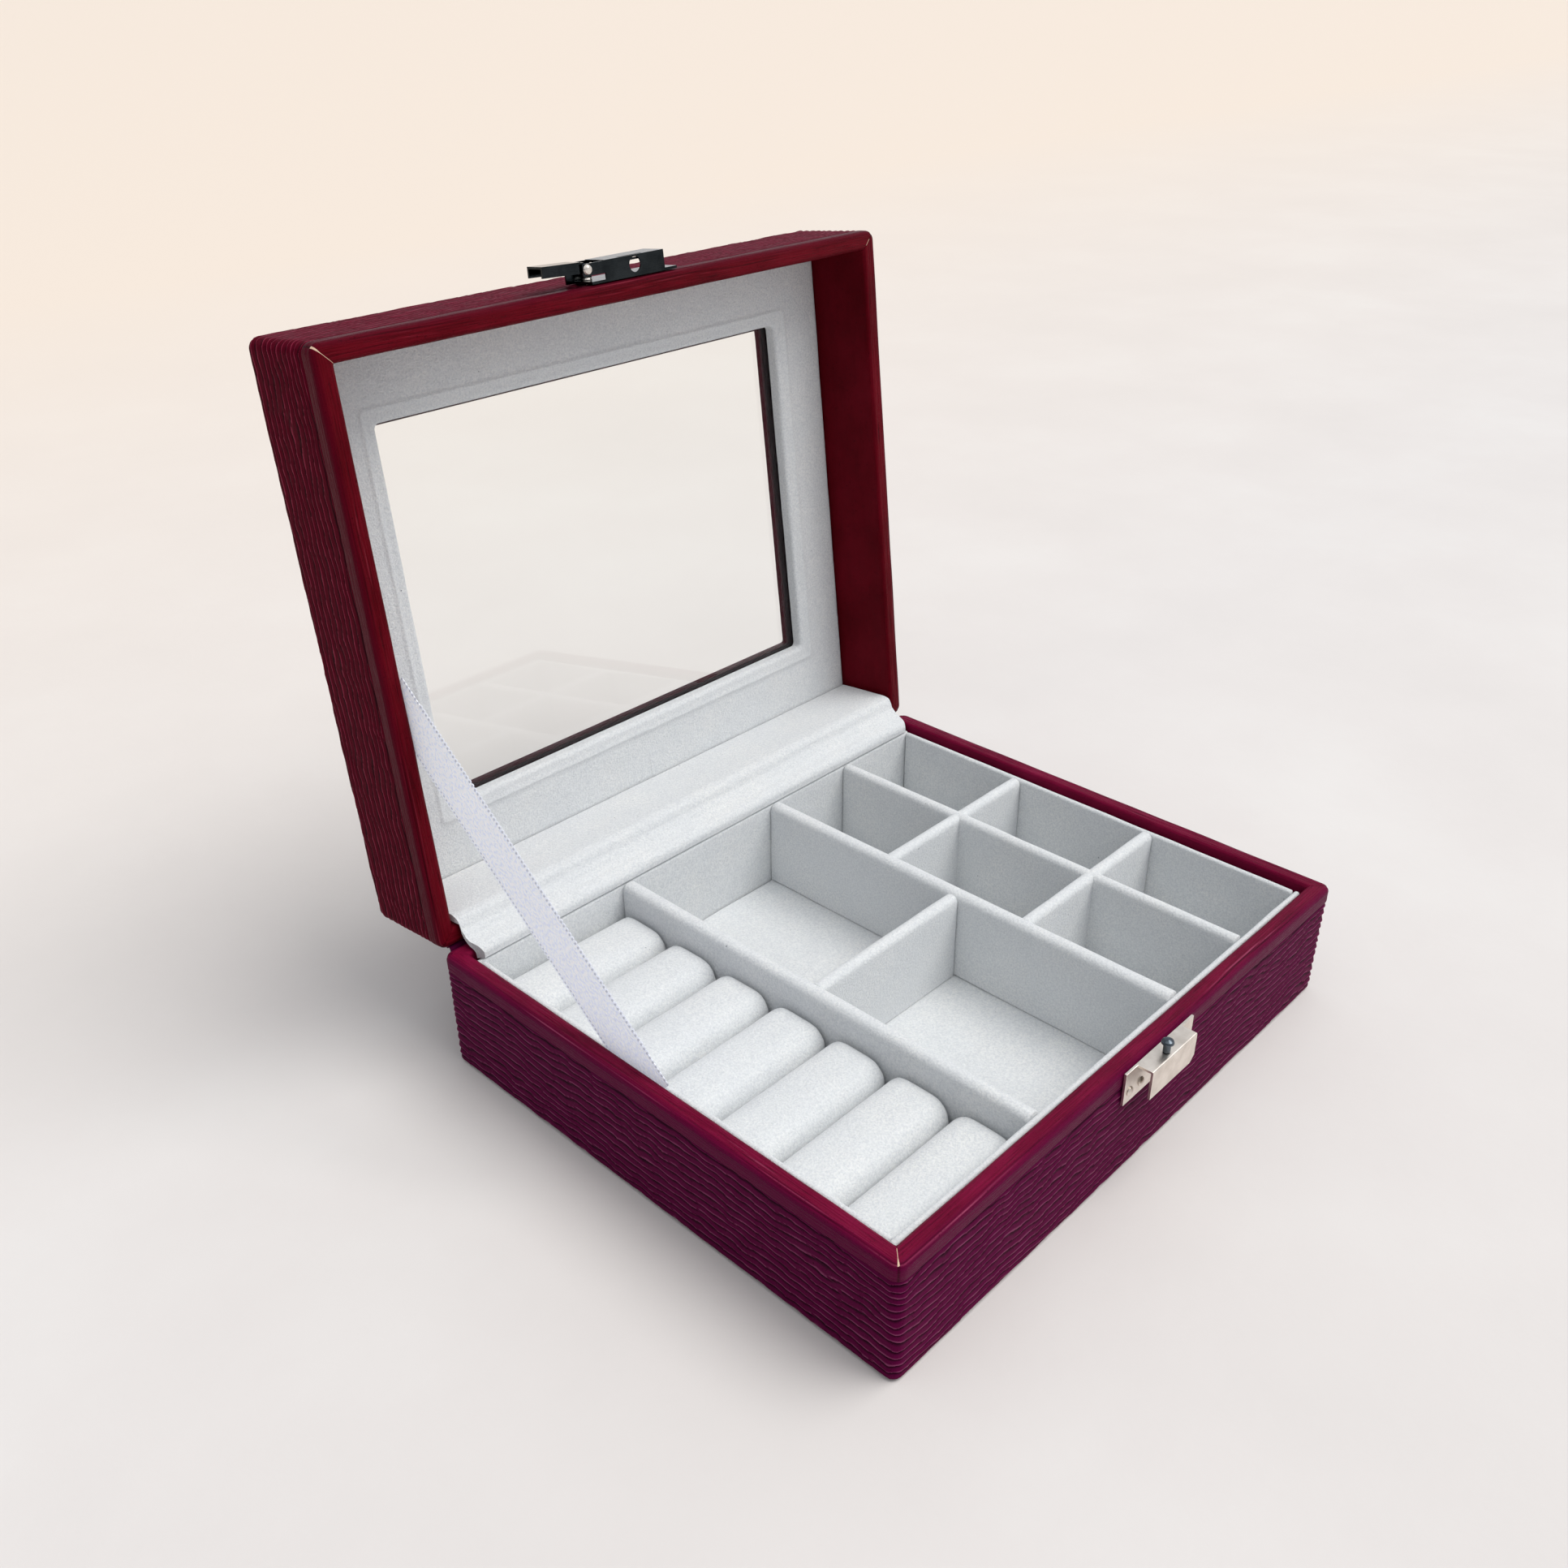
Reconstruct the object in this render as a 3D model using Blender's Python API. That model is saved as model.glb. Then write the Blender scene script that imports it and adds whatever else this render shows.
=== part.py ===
"""Leather jewellery case with a windowed lid, built piece by piece.

X runs along the front from left to right, Y from front to back, Z up. The origin is the middle of the
underside. The lid is modelled closed, in the frame of its hinge line, and is then turned open.
"""

import math

import bmesh
import bpy
from mathutils import Matrix, Vector

# ---------------------------------------------------------------- driving dimensions, metres
MM = 0.001
CASE_W = 200.0 * MM
CASE_D = 164.6 * MM
BASE_H = 37.0 * MM
LID_H = 31.2 * MM
RIM_GAP = 0.6 * MM          # between the two rims when the case is shut
OPEN_ANGLE = math.radians(96.3)

SKIN = 0.8 * MM             # leatherette
GAP = 0.3 * MM              # glue line between neighbours
RIM_W = 5.5 * MM            # width of the covered rim
CORNER_R = 3.0 * MM         # upright corners
BAND_DROP = 5.0 * MM        # how far the plain band comes down the outside
BAND_TUCK = 10.0 * MM       # how far it goes down inside the base
EDGE_R = 1.6 * MM

BOARD_IN = SKIN + GAP       # outer face of the wall boards, from the outside of the case
BOARD_OUT = RIM_W - SKIN - GAP

TRAY_OUT = RIM_W + 1.0 * MM
TRAY_IN = 8.4 * MM
TRAY_BOTTOM = 4.2 * MM
FLOOR_TOP = 6.2 * MM
TRAY_TOP = 34.8 * MM
DIVIDER_TOP = 35.2 * MM

RING_DIVIDER = (-41.4 * MM, -36.4 * MM)
MAIN_DIVIDER = (22.4 * MM, 27.4 * MM)
SMALL_DIVIDER = (58.1 * MM, 62.2 * MM)
SMALL_CROSS_Y = (25.7 * MM, -24.8 * MM)
CROSS_T = 4.2 * MM
LARGE_CROSS_Y = -1.4 * MM
ROLL_COUNT = 7
ROLL_TOP = 27.6 * MM

WINDOW_X = 72.5 * MM        # half sizes of the opening in the lid's top
WINDOW_Y = 53.6 * MM
WINDOW_SHIFT = -1.4 * MM    # the window sits a little towards the latch
MAT_FRONT = 22.0 * MM
MAT_BACK = 26.0 * MM
FRAME_IN = 26.3 * MM
FRAME_OUT = LID_H - SKIN - GAP
REBATE = 28.5 * MM

KEEPER_X = 2.6 * MM         # middle of the keeper; the catch and the stud stand a little left of it
CATCH_X = 1.3 * MM
LATCH_HALF = 10.6 * MM
KEEPER_REACH = 5.4 * MM     # how far each half of the clasp stands off the case
CATCH_REACH = 5.9 * MM
SHEET = 0.7 * MM
STUD_OUT = 3.4 * MM
KEEPER_TOP = 36.4 * MM
CATCH_LOW = 0.8 * MM        # above the lid's rim
PIN_X = -15.4 * MM
PIN_OUT = 4.3 * MM


# ---------------------------------------------------------------- general helpers
def clear_scene():
    for thing in list(bpy.data.objects):
        bpy.data.objects.remove(thing, do_unlink=True)


def material(name, colour, roughness, metallic=0.0, alpha=1.0):
    mat = bpy.data.materials.new(name)
    mat.use_nodes = True
    shader = mat.node_tree.nodes["Principled BSDF"]
    shader.inputs["Base Color"].default_value = (*colour, 1.0)
    shader.inputs["Roughness"].default_value = roughness
    shader.inputs["Metallic"].default_value = metallic
    shader.inputs["Alpha"].default_value = alpha
    return mat


LOOKS = {
    "ribbed": ((0.085, 0.012, 0.03), 0.5, 0.0),
    "plain": ((0.16, 0.008, 0.025), 0.42, 0.0),
    "velvet": ((0.74, 0.76, 0.77), 0.9, 0.0),
    "board": ((0.5, 0.36, 0.22), 0.8, 0.0),
    "paper": ((0.05, 0.01, 0.015), 0.85, 0.0),
    "glass": ((0.9, 0.95, 0.94), 0.05, 0.0),
    "ribbon": ((0.85, 0.85, 0.9), 0.45, 0.0),
    "nickel": ((0.72, 0.69, 0.65), 0.28, 1.0),
    "steel": ((0.3, 0.33, 0.37), 0.25, 1.0),
}


def finish(name, bm, look, parent=None, smooth_angle=35.0):
    """Turn a bmesh into a named object with its own material, rounded faces shaded smooth."""
    bmesh.ops.remove_doubles(bm, verts=bm.verts, dist=0.00001)
    bmesh.ops.recalc_face_normals(bm, faces=bm.faces)
    limit = math.radians(smooth_angle)
    for face in bm.faces:
        face.smooth = True
    for edge in bm.edges:
        edge.smooth = len(edge.link_faces) == 2 and edge.calc_face_angle(0.0) < limit
    mesh = bpy.data.meshes.new(name)
    bm.to_mesh(mesh)
    bm.free()
    obj = bpy.data.objects.new(name, mesh)
    bpy.context.scene.collection.objects.link(obj)
    colour, roughness, metallic = LOOKS[look]
    mesh.materials.append(material(name, colour, roughness, metallic, 0.35 if look == "glass" else 1.0))
    obj.parent = parent
    return obj


def join_loops(bm, loops, closed_section):
    """Skin a list of equal vertex loops; the section closes on itself or gets an end cap each side."""
    rings = [[bm.verts.new(p) for p in loop] for loop in loops]
    pairs = list(zip(rings, rings[1:]))
    if closed_section:
        pairs.append((rings[-1], rings[0]))
    for a, b in pairs:
        count = len(a)
        for i in range(count):
            j = (i + 1) % count
            bm.faces.new((a[i], a[j], b[j], b[i]))
    if not closed_section:
        bm.faces.new(rings[0])
        bm.faces.new(rings[-1])


def rect_loop(half_x, half_y, radius, z, centre_y=0.0, steps=5):
    """A rounded rectangle at height z, the same number of points whatever its size."""
    points = []
    for corner, (sx, sy) in enumerate(((1, 1), (-1, 1), (-1, -1), (1, -1))):
        for i in range(steps + 1):
            a = math.radians(90.0 * (corner + i / steps))
            x = sx * (half_x - radius) + radius * math.cos(a)
            y = sy * (half_y - radius) + radius * math.sin(a)
            points.append(Vector((x, y + centre_y, z)))
    return points


def case_loop(inset, z, centre_y=0.0):
    radius = max(CORNER_R - inset, 0.6 * MM)
    return rect_loop(CASE_W / 2 - inset, CASE_D / 2 - inset, radius, z, centre_y)


def arc(cx, cy, radius, start, end, steps=4):
    turn = [math.radians(start + (end - start) * i / steps) for i in range(steps + 1)]
    return [(cx + radius * math.cos(a), cy + radius * math.sin(a)) for a in turn]


def prism(outline, z0, z1, holes=()):
    """Extrude an XY outline between two heights, with round through-holes (x, y, radius)."""
    bm = bmesh.new()
    low = [bm.verts.new((x, y, z0)) for x, y in outline]
    high = [bm.verts.new((x, y, z1)) for x, y in outline]
    count = len(outline)
    for i in range(count):
        j = (i + 1) % count
        bm.faces.new((low[i], low[j], high[j], high[i]))
    bm.faces.new(low)
    bm.faces.new(high)
    bmesh.ops.recalc_face_normals(bm, faces=bm.faces)
    return bm


def box(lo, hi):
    bm = bmesh.new()
    bmesh.ops.create_cube(bm, size=1.0)
    size = Vector(hi) - Vector(lo)
    centre = (Vector(hi) + Vector(lo)) / 2
    bmesh.ops.transform(bm, matrix=Matrix.Translation(centre) @ Matrix.Diagonal((*size, 1)), verts=bm.verts)
    return bm


def round_edges(bm, test, width, segments=3):
    """Bevel the edges whose two end points pass the test."""
    edges = [e for e in bm.edges if test(e.verts[0].co, e.verts[1].co)]
    bmesh.ops.bevel(bm, geom=edges, offset=width, offset_type="OFFSET", segments=segments, profile=0.5,
                    affect="EDGES", clamp_overlap=True, material=-1)


def every_edge(a, b):
    return True


def turned(profile, steps, base, axis="Z"):
    """A solid of revolution: profile is (radius, height) from the axis, up, and back to the axis."""
    bm = bmesh.new()
    turn = {"Z": Matrix.Identity(4), "-Y": Matrix.Rotation(math.radians(90), 4, "X")}[axis]
    rings = []
    for radius, height in profile:
        if radius < 1e-7:
            rings.append([bm.verts.new((0, 0, height))])
            continue
        rings.append([bm.verts.new((radius * math.cos(2 * math.pi * i / steps),
                                    radius * math.sin(2 * math.pi * i / steps), height))
                      for i in range(steps)])
    for a, b in zip(rings, rings[1:]):
        for i in range(steps):
            j = (i + 1) % steps
            quad = [a[i % len(a)], a[j % len(a)], b[j % len(b)], b[i % len(b)]]
            corners = []
            for vert in quad:
                if vert not in corners:
                    corners.append(vert)
            if len(corners) > 2:
                bm.faces.new(corners)
    bmesh.ops.transform(bm, matrix=Matrix.Translation(Vector(base)) @ turn, verts=bm.verts)
    bmesh.ops.recalc_face_normals(bm, faces=bm.faces)
    return bm


def scratch(name, bm):
    mesh = bpy.data.meshes.new(name)
    bm.to_mesh(mesh)
    bm.free()
    obj = bpy.data.objects.new(name, mesh)
    bpy.context.scene.collection.objects.link(obj)
    return obj


def combine(bm, tools, operation):
    """Boolean a list of bmeshes into one and return the result as a bmesh."""
    target = scratch("scratch_target", bm)
    made = []
    for tool in tools:
        cutter = scratch("scratch_tool", tool)
        made.append(cutter)
        step = target.modifiers.new("step", "BOOLEAN")
        step.operation = operation
        step.solver = "EXACT"
        step.object = cutter
    bpy.context.view_layer.update()
    evaluated = target.evaluated_get(bpy.context.evaluated_depsgraph_get())
    result = bmesh.new()
    result.from_mesh(evaluated.to_mesh())
    for thing in made + [target]:
        bpy.data.objects.remove(thing, do_unlink=True)
    bmesh.ops.remove_doubles(result, verts=result.verts, dist=0.000005)
    bmesh.ops.dissolve_degenerate(result, edges=result.edges, dist=0.000002)
    return result


def rod(x, z, radius, y0, y1, steps=16):
    """A plain cylinder lying along Y, for drilling."""
    bm = bmesh.new()
    bmesh.ops.create_cone(bm, cap_ends=True, segments=steps, radius1=radius, radius2=radius, depth=abs(y1 - y0))
    place = Matrix.Translation((x, (y0 + y1) / 2, z)) @ Matrix.Rotation(math.radians(90), 4, "X")
    bmesh.ops.transform(bm, matrix=place, verts=bm.verts)
    return bm


# ---------------------------------------------------------------- covered carcass
def band_section(drop_out, drop_in):
    """The plain leather folded over a rim, as (inset from outside, depth below the rim)."""
    outer = [(0.0, drop_out)] + arc(EDGE_R, EDGE_R, EDGE_R, 180, 270)
    inner_r = 1.2 * MM
    outer += arc(RIM_W - inner_r, inner_r, inner_r, 270, 360) + [(RIM_W, drop_in)]
    back = [(RIM_W - SKIN, drop_in)] + arc(RIM_W - inner_r, inner_r, inner_r - SKIN, 360, 270)
    back += arc(EDGE_R, EDGE_R, EDGE_R - SKIN, 270, 180) + [(SKIN, drop_out)]
    return outer + back


def rim_band(name, parent, rim_z, down, drop_in, centre_y):
    bm = bmesh.new()
    loops = [case_loop(inset, rim_z - down * depth, centre_y) for inset, depth in band_section(BAND_DROP, drop_in)]
    join_loops(bm, loops, True)
    return finish(name, bm, "plain", parent)


def wall_boards(prefix, parent, z0, z1, centre_y, drill):
    """Four boards, the long ones running the full width, butted at the corners."""
    hx, hy = CASE_W / 2 - BOARD_IN, CASE_D / 2 - BOARD_IN
    thick = BOARD_OUT - BOARD_IN
    radius = CORNER_R - BOARD_IN
    for label, side in (("front", -1), ("back", 1)):
        outline = [(-hx, 0)] + arc(-hx + radius, thick - radius, radius, 180, 90)
        outline += arc(hx - radius, thick - radius, radius, 90, 0) + [(hx, 0)]
        points = [(x, centre_y + side * (hy - thick + y)) for x, y in outline]
        bm = prism(points, z0, z1)
        round_edges(bm, lambda a, b: abs(a.z - b.z) < 1e-6, 0.4 * MM, 2)
        if side < 0 and drill:
            reach = centre_y - hy
            bm = combine(bm, [rod(x, z, 0.8 * MM, reach - 1 * MM, reach + thick + 1 * MM) for x, z in drill],
                         "DIFFERENCE")
        finish(f"{prefix}_{label}_wall", bm, "board", parent)
    inner_y = hy - thick - GAP
    for label, side in (("left", -1), ("right", 1)):
        xs = sorted((side * hx, side * (hx - thick)))
        bm = box((xs[0], centre_y - inner_y, z0), (xs[1], centre_y + inner_y, z1))
        round_edges(bm, every_edge, 0.4 * MM, 2)
        finish(f"{prefix}_{label}_wall", bm, "board", parent)


KEEPER_NAILS = [(-10.6 * MM, 29.6 * MM), (-5.4 * MM, 29.6 * MM), (15.9 * MM, 29.6 * MM)]
CATCH_NAILS = [(-11.4 * MM, 6.4 * MM), (14.1 * MM, 6.4 * MM)]


def base_carcass():
    wall_boards("base", None, 1.3 * MM, BASE_H - SKIN - GAP, 0.0, KEEPER_NAILS)

    inset = RIM_W - SKIN
    bm = box((-CASE_W / 2 + inset, -CASE_D / 2 + inset, 1.3 * MM), (CASE_W / 2 - inset, CASE_D / 2 - inset, 3.9 * MM))
    round_edges(bm, every_edge, 0.3 * MM, 1)
    finish("base_bottom_panel", bm, "board")

    rim_band("base_rim_band", None, BASE_H, 1, BAND_TUCK, 0.0)

    top = BASE_H - BAND_DROP - GAP
    low, margin = 0.2 * MM, 14.0 * MM
    section = [(0.0, top)] + [(d, low + h) for d, h in arc(1.5 * MM, 1.5 * MM, 1.5 * MM, 180, 270)]
    section += [(margin, low), (margin, low + SKIN)]
    section += [(d, low + h) for d, h in arc(1.5 * MM, 1.5 * MM, 1.5 * MM - SKIN, 270, 180)] + [(SKIN, top)]
    bm = bmesh.new()
    join_loops(bm, [case_loop(d, z) for d, z in section], True)
    face = -CASE_D / 2
    bm = combine(bm, [rod(x, z, 0.8 * MM, face - 1 * MM, face + 1.6 * MM) for x, z in KEEPER_NAILS], "DIFFERENCE")
    finish("base_leather_wrap", bm, "ribbed")

    inset = margin + GAP
    bm = box((-CASE_W / 2 + inset, -CASE_D / 2 + inset, 0.0), (CASE_W / 2 - inset, CASE_D / 2 - inset, 1.0 * MM))
    finish("base_underside_cover", bm, "paper")


# ---------------------------------------------------------------- velvet tray
def velvet_board(name, lo, hi, soft_top=1.0 * MM, slots=()):
    """A velvet-covered board with a soft rounded top; slots are boxes cut out for half-laps."""
    bm = box(lo, hi)
    top = hi[2]
    round_edges(bm, lambda a, b: a.z > top - 1e-6 and b.z > top - 1e-6, soft_top, 4)
    if slots:
        bm = combine(bm, [box(a, b) for a, b in slots], "DIFFERENCE")
    return finish(name, bm, "velvet")


def tray():
    ox, oy = CASE_W / 2 - TRAY_OUT, CASE_D / 2 - TRAY_OUT
    ix, iy = CASE_W / 2 - TRAY_IN, CASE_D / 2 - TRAY_IN
    for label, side in (("front", -1), ("back", 1)):
        ys = sorted((side * oy, side * iy))
        velvet_board(f"tray_{label}_wall", (-ox, ys[0], TRAY_BOTTOM), (ox, ys[1], TRAY_TOP), 0.8 * MM)
    for label, side in (("left", -1), ("right", 1)):
        xs = sorted((side * ox, side * ix))
        velvet_board(f"tray_{label}_wall", (xs[0], -iy + GAP, TRAY_BOTTOM), (xs[1], iy - GAP, TRAY_TOP), 0.8 * MM)
    bm = box((-ix + GAP, -iy + GAP, TRAY_BOTTOM), (ix - GAP, iy - GAP, FLOOR_TOP))
    round_edges(bm, every_edge, 0.4 * MM, 2)
    finish("tray_floor", bm, "velvet")
    return ix, iy


def dividers(ix, iy):
    foot = FLOOR_TOP + GAP
    end = iy - GAP
    for name, (x0, x1) in (("divider_rings", RING_DIVIDER), ("divider_main", MAIN_DIVIDER)):
        velvet_board(name, (x0, -end, foot), (x1, end, DIVIDER_TOP), 1.8 * MM)
    x0, x1 = SMALL_DIVIDER
    half = (foot + DIVIDER_TOP) / 2
    laps = []
    for y in SMALL_CROSS_Y:
        reach = CROSS_T / 2 + GAP
        laps.append(((x0 - 1 * MM, y - reach, foot - 1 * MM), (x1 + 1 * MM, y + reach, half + GAP / 2)))
    velvet_board("divider_small", (x0, -end, foot), (x1, end, DIVIDER_TOP), 1.8 * MM, laps)
    for number, y in enumerate(SMALL_CROSS_Y, 1):
        lo = (MAIN_DIVIDER[1] + GAP, y - CROSS_T / 2, foot)
        hi = (ix - GAP, y + CROSS_T / 2, DIVIDER_TOP)
        slot = ((x0 - GAP, y - 5 * MM, half - GAP / 2), (x1 + GAP, y + 5 * MM, DIVIDER_TOP + 1 * MM))
        velvet_board(f"small_cross_divider_{number}", lo, hi, 1.8 * MM, [slot])
    lo = (RING_DIVIDER[1] + GAP, LARGE_CROSS_Y - 2.2 * MM, foot)
    hi = (MAIN_DIVIDER[0] - GAP, LARGE_CROSS_Y + 2.2 * MM, DIVIDER_TOP)
    velvet_board("large_cross_divider", lo, hi, 1.8 * MM)


def ring_rolls(ix, iy):
    """Foam rolls covered in velvet, side by side, with arched tops and eased ends."""
    foot = FLOOR_TOP + GAP
    x0, x1 = -ix + GAP, RING_DIVIDER[0] - GAP
    pitch = (2 * iy - GAP) / ROLL_COUNT
    half = (pitch - GAP) / 2
    rise = 7.5 * MM
    arch = [(half * math.cos(math.radians(a)), ROLL_TOP - rise + rise * math.sin(math.radians(a)))
            for a in range(0, 181, 15)]
    section = [(-half, foot), (half, foot)] + arch
    middle = Vector((0, (foot + ROLL_TOP) / 2))
    stations = [(x0, 0.80), (x0 + 1.2 * MM, 0.92), (x0 + 3.2 * MM, 1.0)]
    stations += [(x1 - 3.2 * MM, 1.0), (x1 - 1.2 * MM, 0.92), (x1, 0.80)]
    for number in range(ROLL_COUNT):
        centre = iy - GAP / 2 - pitch * (number + 0.5)
        bm = bmesh.new()
        loops = []
        for x, grow in stations:
            ring = []
            for y, z in section:
                lift = middle.y + (z - middle.y) * grow if z > middle.y else z
                ring.append(Vector((x, centre + y * grow, lift)))
            loops.append(ring)
        join_loops(bm, loops, False)
        finish(f"ring_roll_{number + 1}", bm, "velvet")


# ---------------------------------------------------------------- lid
def lid_frame():
    """An empty on the hinge line: lid pieces are children of it and turn open with it."""
    pivot = bpy.data.objects.new("lid_hinge_line", None)
    bpy.context.scene.collection.objects.link(pivot)
    pivot.location = (0.0, CASE_D / 2, BASE_H + RIM_GAP / 2)
    pivot.rotation_euler = (-OPEN_ANGLE, 0.0, 0.0)
    return pivot


def lid(pivot):
    rim = RIM_GAP / 2
    mid = -CASE_D / 2
    wall_boards("lid", pivot, rim + SKIN + GAP, rim + FRAME_IN - GAP, mid, [(x, rim + z) for x, z in CATCH_NAILS])
    rim_band("lid_rim_band", pivot, rim, -1, MAT_FRONT + 2.0 * MM, mid)

    top, start = LID_H, BAND_DROP + GAP
    wx, wy = CASE_W / 2 - WINDOW_X, CASE_D / 2 - WINDOW_Y
    reveal = REBATE + GAP / 2
    fold = 1.0 * MM
    section = [(0.0, 0.0, start)]
    section += [(d, d, top - h) for d, h in arc(EDGE_R, EDGE_R, EDGE_R, 180, 270)]
    section += [(wx - fold + d, wy - fold + d, top - fold + h) for d, h in arc(0, 0, fold, 90, 0, 3)]
    section += [(wx, wy, reveal), (wx - SKIN, wy - SKIN, reveal), (wx - SKIN, wy - SKIN, top - SKIN)]
    section += [(d, d, top - h) for d, h in arc(EDGE_R, EDGE_R, EDGE_R - SKIN, 270, 180)] + [(SKIN, SKIN, start)]
    loops = []
    for dx, dy, z in section:
        inner = dx > 20 * MM
        shift = WINDOW_SHIFT if inner else 0.0
        radius = 1.2 * MM if inner else max(CORNER_R - dx, 0.6 * MM)
        loops.append(rect_loop(CASE_W / 2 - dx, CASE_D / 2 - dy, radius, rim + z, mid + shift))
    bm = bmesh.new()
    join_loops(bm, loops, True)
    face = -CASE_D
    bm = combine(bm, [rod(x, rim + z, 0.8 * MM, face - 1 * MM, face + 1.6 * MM) for x, z in CATCH_NAILS],
                 "DIFFERENCE")
    finish("lid_leather_wrap", bm, "ribbed", pivot)

    hole_x, hole_y = WINDOW_X + SKIN + GAP, WINDOW_Y + SKIN + GAP
    seat_x, seat_y = WINDOW_X + 9.0 * MM, WINDOW_Y + 9.0 * MM
    out_x, out_y = CASE_W / 2 - BOARD_IN, CASE_D / 2 - BOARD_IN
    corner = CORNER_R - BOARD_IN
    section = [(out_x, out_y, FRAME_IN, 0, corner), (out_x, out_y, FRAME_OUT - 0.3 * MM, 0, corner),
               (out_x - 0.3 * MM, out_y - 0.3 * MM, FRAME_OUT, 0, corner - 0.3 * MM),
               (hole_x, hole_y, FRAME_OUT, WINDOW_SHIFT, 0.8 * MM), (hole_x, hole_y, REBATE, WINDOW_SHIFT, 0.8 * MM),
               (seat_x, seat_y, REBATE, WINDOW_SHIFT, 0.8 * MM), (seat_x, seat_y, FRAME_IN, WINDOW_SHIFT, 0.8 * MM)]
    bm = bmesh.new()
    join_loops(bm, [rect_loop(x, y, r, rim + z, mid + s) for x, y, z, s, r in section], True)
    finish("lid_top_frame", bm, "board", pivot)

    edge = GAP
    bm = box((-seat_x + edge, mid + WINDOW_SHIFT - seat_y + edge, rim + FRAME_IN + 0.1 * MM),
             (seat_x - edge, mid + WINDOW_SHIFT + seat_y - edge, rim + REBATE - GAP))
    round_edges(bm, every_edge, 0.3 * MM, 1)
    finish("window_glass", bm, "glass", pivot)

    out_x, out_y = CASE_W / 2 - RIM_W - 0.4 * MM, CASE_D / 2 - RIM_W - 0.4 * MM
    in_x, in_y = WINDOW_X + 1.6 * MM, WINDOW_Y + 1.2 * MM
    soft = 1.6 * MM
    section = [(out_x, out_y, MAT_BACK, 0, 0.8 * MM), (out_x, out_y, MAT_FRONT + 1.0 * MM, 0, 0.8 * MM),
               (out_x - 1.0 * MM, out_y - 1.0 * MM, MAT_FRONT, 0, 0.8 * MM)]
    section += [(in_x + soft - d, in_y + soft - d, MAT_FRONT + soft - h, WINDOW_SHIFT, 1.5 * MM)
                for d, h in arc(0, 0, soft, 90, 0)]
    section += [(in_x, in_y, MAT_BACK, WINDOW_SHIFT, 1.5 * MM)]
    bm = bmesh.new()
    join_loops(bm, [rect_loop(x, y, r, rim + z, mid + s) for x, y, z, s, r in section], True)
    finish("lid_velvet_mat", bm, "velvet", pivot)


# ---------------------------------------------------------------- soft parts across the hinge
def from_lid(v, w):
    """A point v in front of the hinge line and w above the lid's rim, as world (y, z) with the lid open."""
    y, z = -v, w + RIM_GAP / 2
    c, s = math.cos(-OPEN_ANGLE), math.sin(-OPEN_ANGLE)
    return (CASE_D / 2 + y * c - z * s, BASE_H + RIM_GAP / 2 + y * s + z * c)


def across(name, section, x0, x1, look):
    """Extrude a (y, z) section along X."""
    bm = bmesh.new()
    join_loops(bm, [[Vector((x, y, z)) for y, z in section] for x in (x0, x1)], False)
    return finish(name, bm, look)


def hinge_pieces():
    mm = MM
    face = [from_lid(8.2 * mm, 21.5 * mm), from_lid(8.2 * mm, 3.0 * mm), from_lid(7.9 * mm, 1.0 * mm)]
    face += [from_lid(7.0 * mm, -0.6 * mm), (80.9 * mm, 41.4 * mm), (79.2 * mm, 40.0 * mm), (77.6 * mm, 39.4 * mm)]
    face += [(76.0 * mm, 39.1 * mm), (74.7 * mm, 38.4 * mm), (73.9 * mm, 37.2 * mm), (73.8 * mm, 35.4 * mm)]
    back = [(75.3 * mm, 35.4 * mm), (75.6 * mm, 36.8 * mm), (76.4 * mm, 37.6 * mm), (78.2 * mm, 37.9 * mm)]
    back += [(80.2 * mm, 38.9 * mm), (81.6 * mm, 40.6 * mm), from_lid(5.9 * mm, -0.9 * mm)]
    back += [from_lid(5.9 * mm, 1.2 * mm), from_lid(5.9 * mm, 21.5 * mm)]
    across("hinge_velvet_strip", face + back, -93.2 * mm, 93.2 * mm, "velvet")

    rear = CASE_D / 2
    near, far = 0.3 * mm, 0.9 * mm
    outer = [(rear + far, 27.0 * mm), (rear + far, 34.6 * mm)]
    outer += [from_lid(-far - 0.5 * mm, 1.7 * mm), from_lid(-far, 2.6 * mm), from_lid(-far, 10.0 * mm)]
    inner = [from_lid(-near, 10.0 * mm), from_lid(-near, 1.0 * mm), (rear + near, 36.0 * mm), (rear + near, 27.0 * mm)]
    across("hinge_leather", outer + inner, -96.5 * mm, 96.5 * mm, "ribbed")


def ribbon():
    """Satin stay ribbon on the left, glued inside both walls and drawn straight when the lid is open."""
    low = Vector((8.0 * MM, BASE_H))
    high = Vector(from_lid(68.0 * MM, 0.0))
    along = (high - low).normalized()
    side = Vector((along.y, -along.x)) * 8.4 * MM
    start, end = low - along * 9.0 * MM, high + along * 9.0 * MM
    x = -CASE_W / 2 + RIM_W + 0.25 * MM
    steps = 24
    loops = []
    for i in range(steps + 1):
        p = start.lerp(end, i / steps)
        a, b = p + side, p - side
        loops.append([Vector((x, a.x, a.y)), Vector((x, b.x, b.y)),
                      Vector((x + 0.5 * MM, b.x, b.y)), Vector((x + 0.5 * MM, a.x, a.y))])
    bm = bmesh.new()
    join_loops(bm, loops, False)
    finish("stay_ribbon", bm, "ribbon")


# ---------------------------------------------------------------- latch
def plate(x0, x1, out0, out1, z0, z1, front):
    """A piece of sheet: x, distance out from the case front, height."""
    return box((x0, front - out1, z0), (x1, front - out0, z1))


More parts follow.
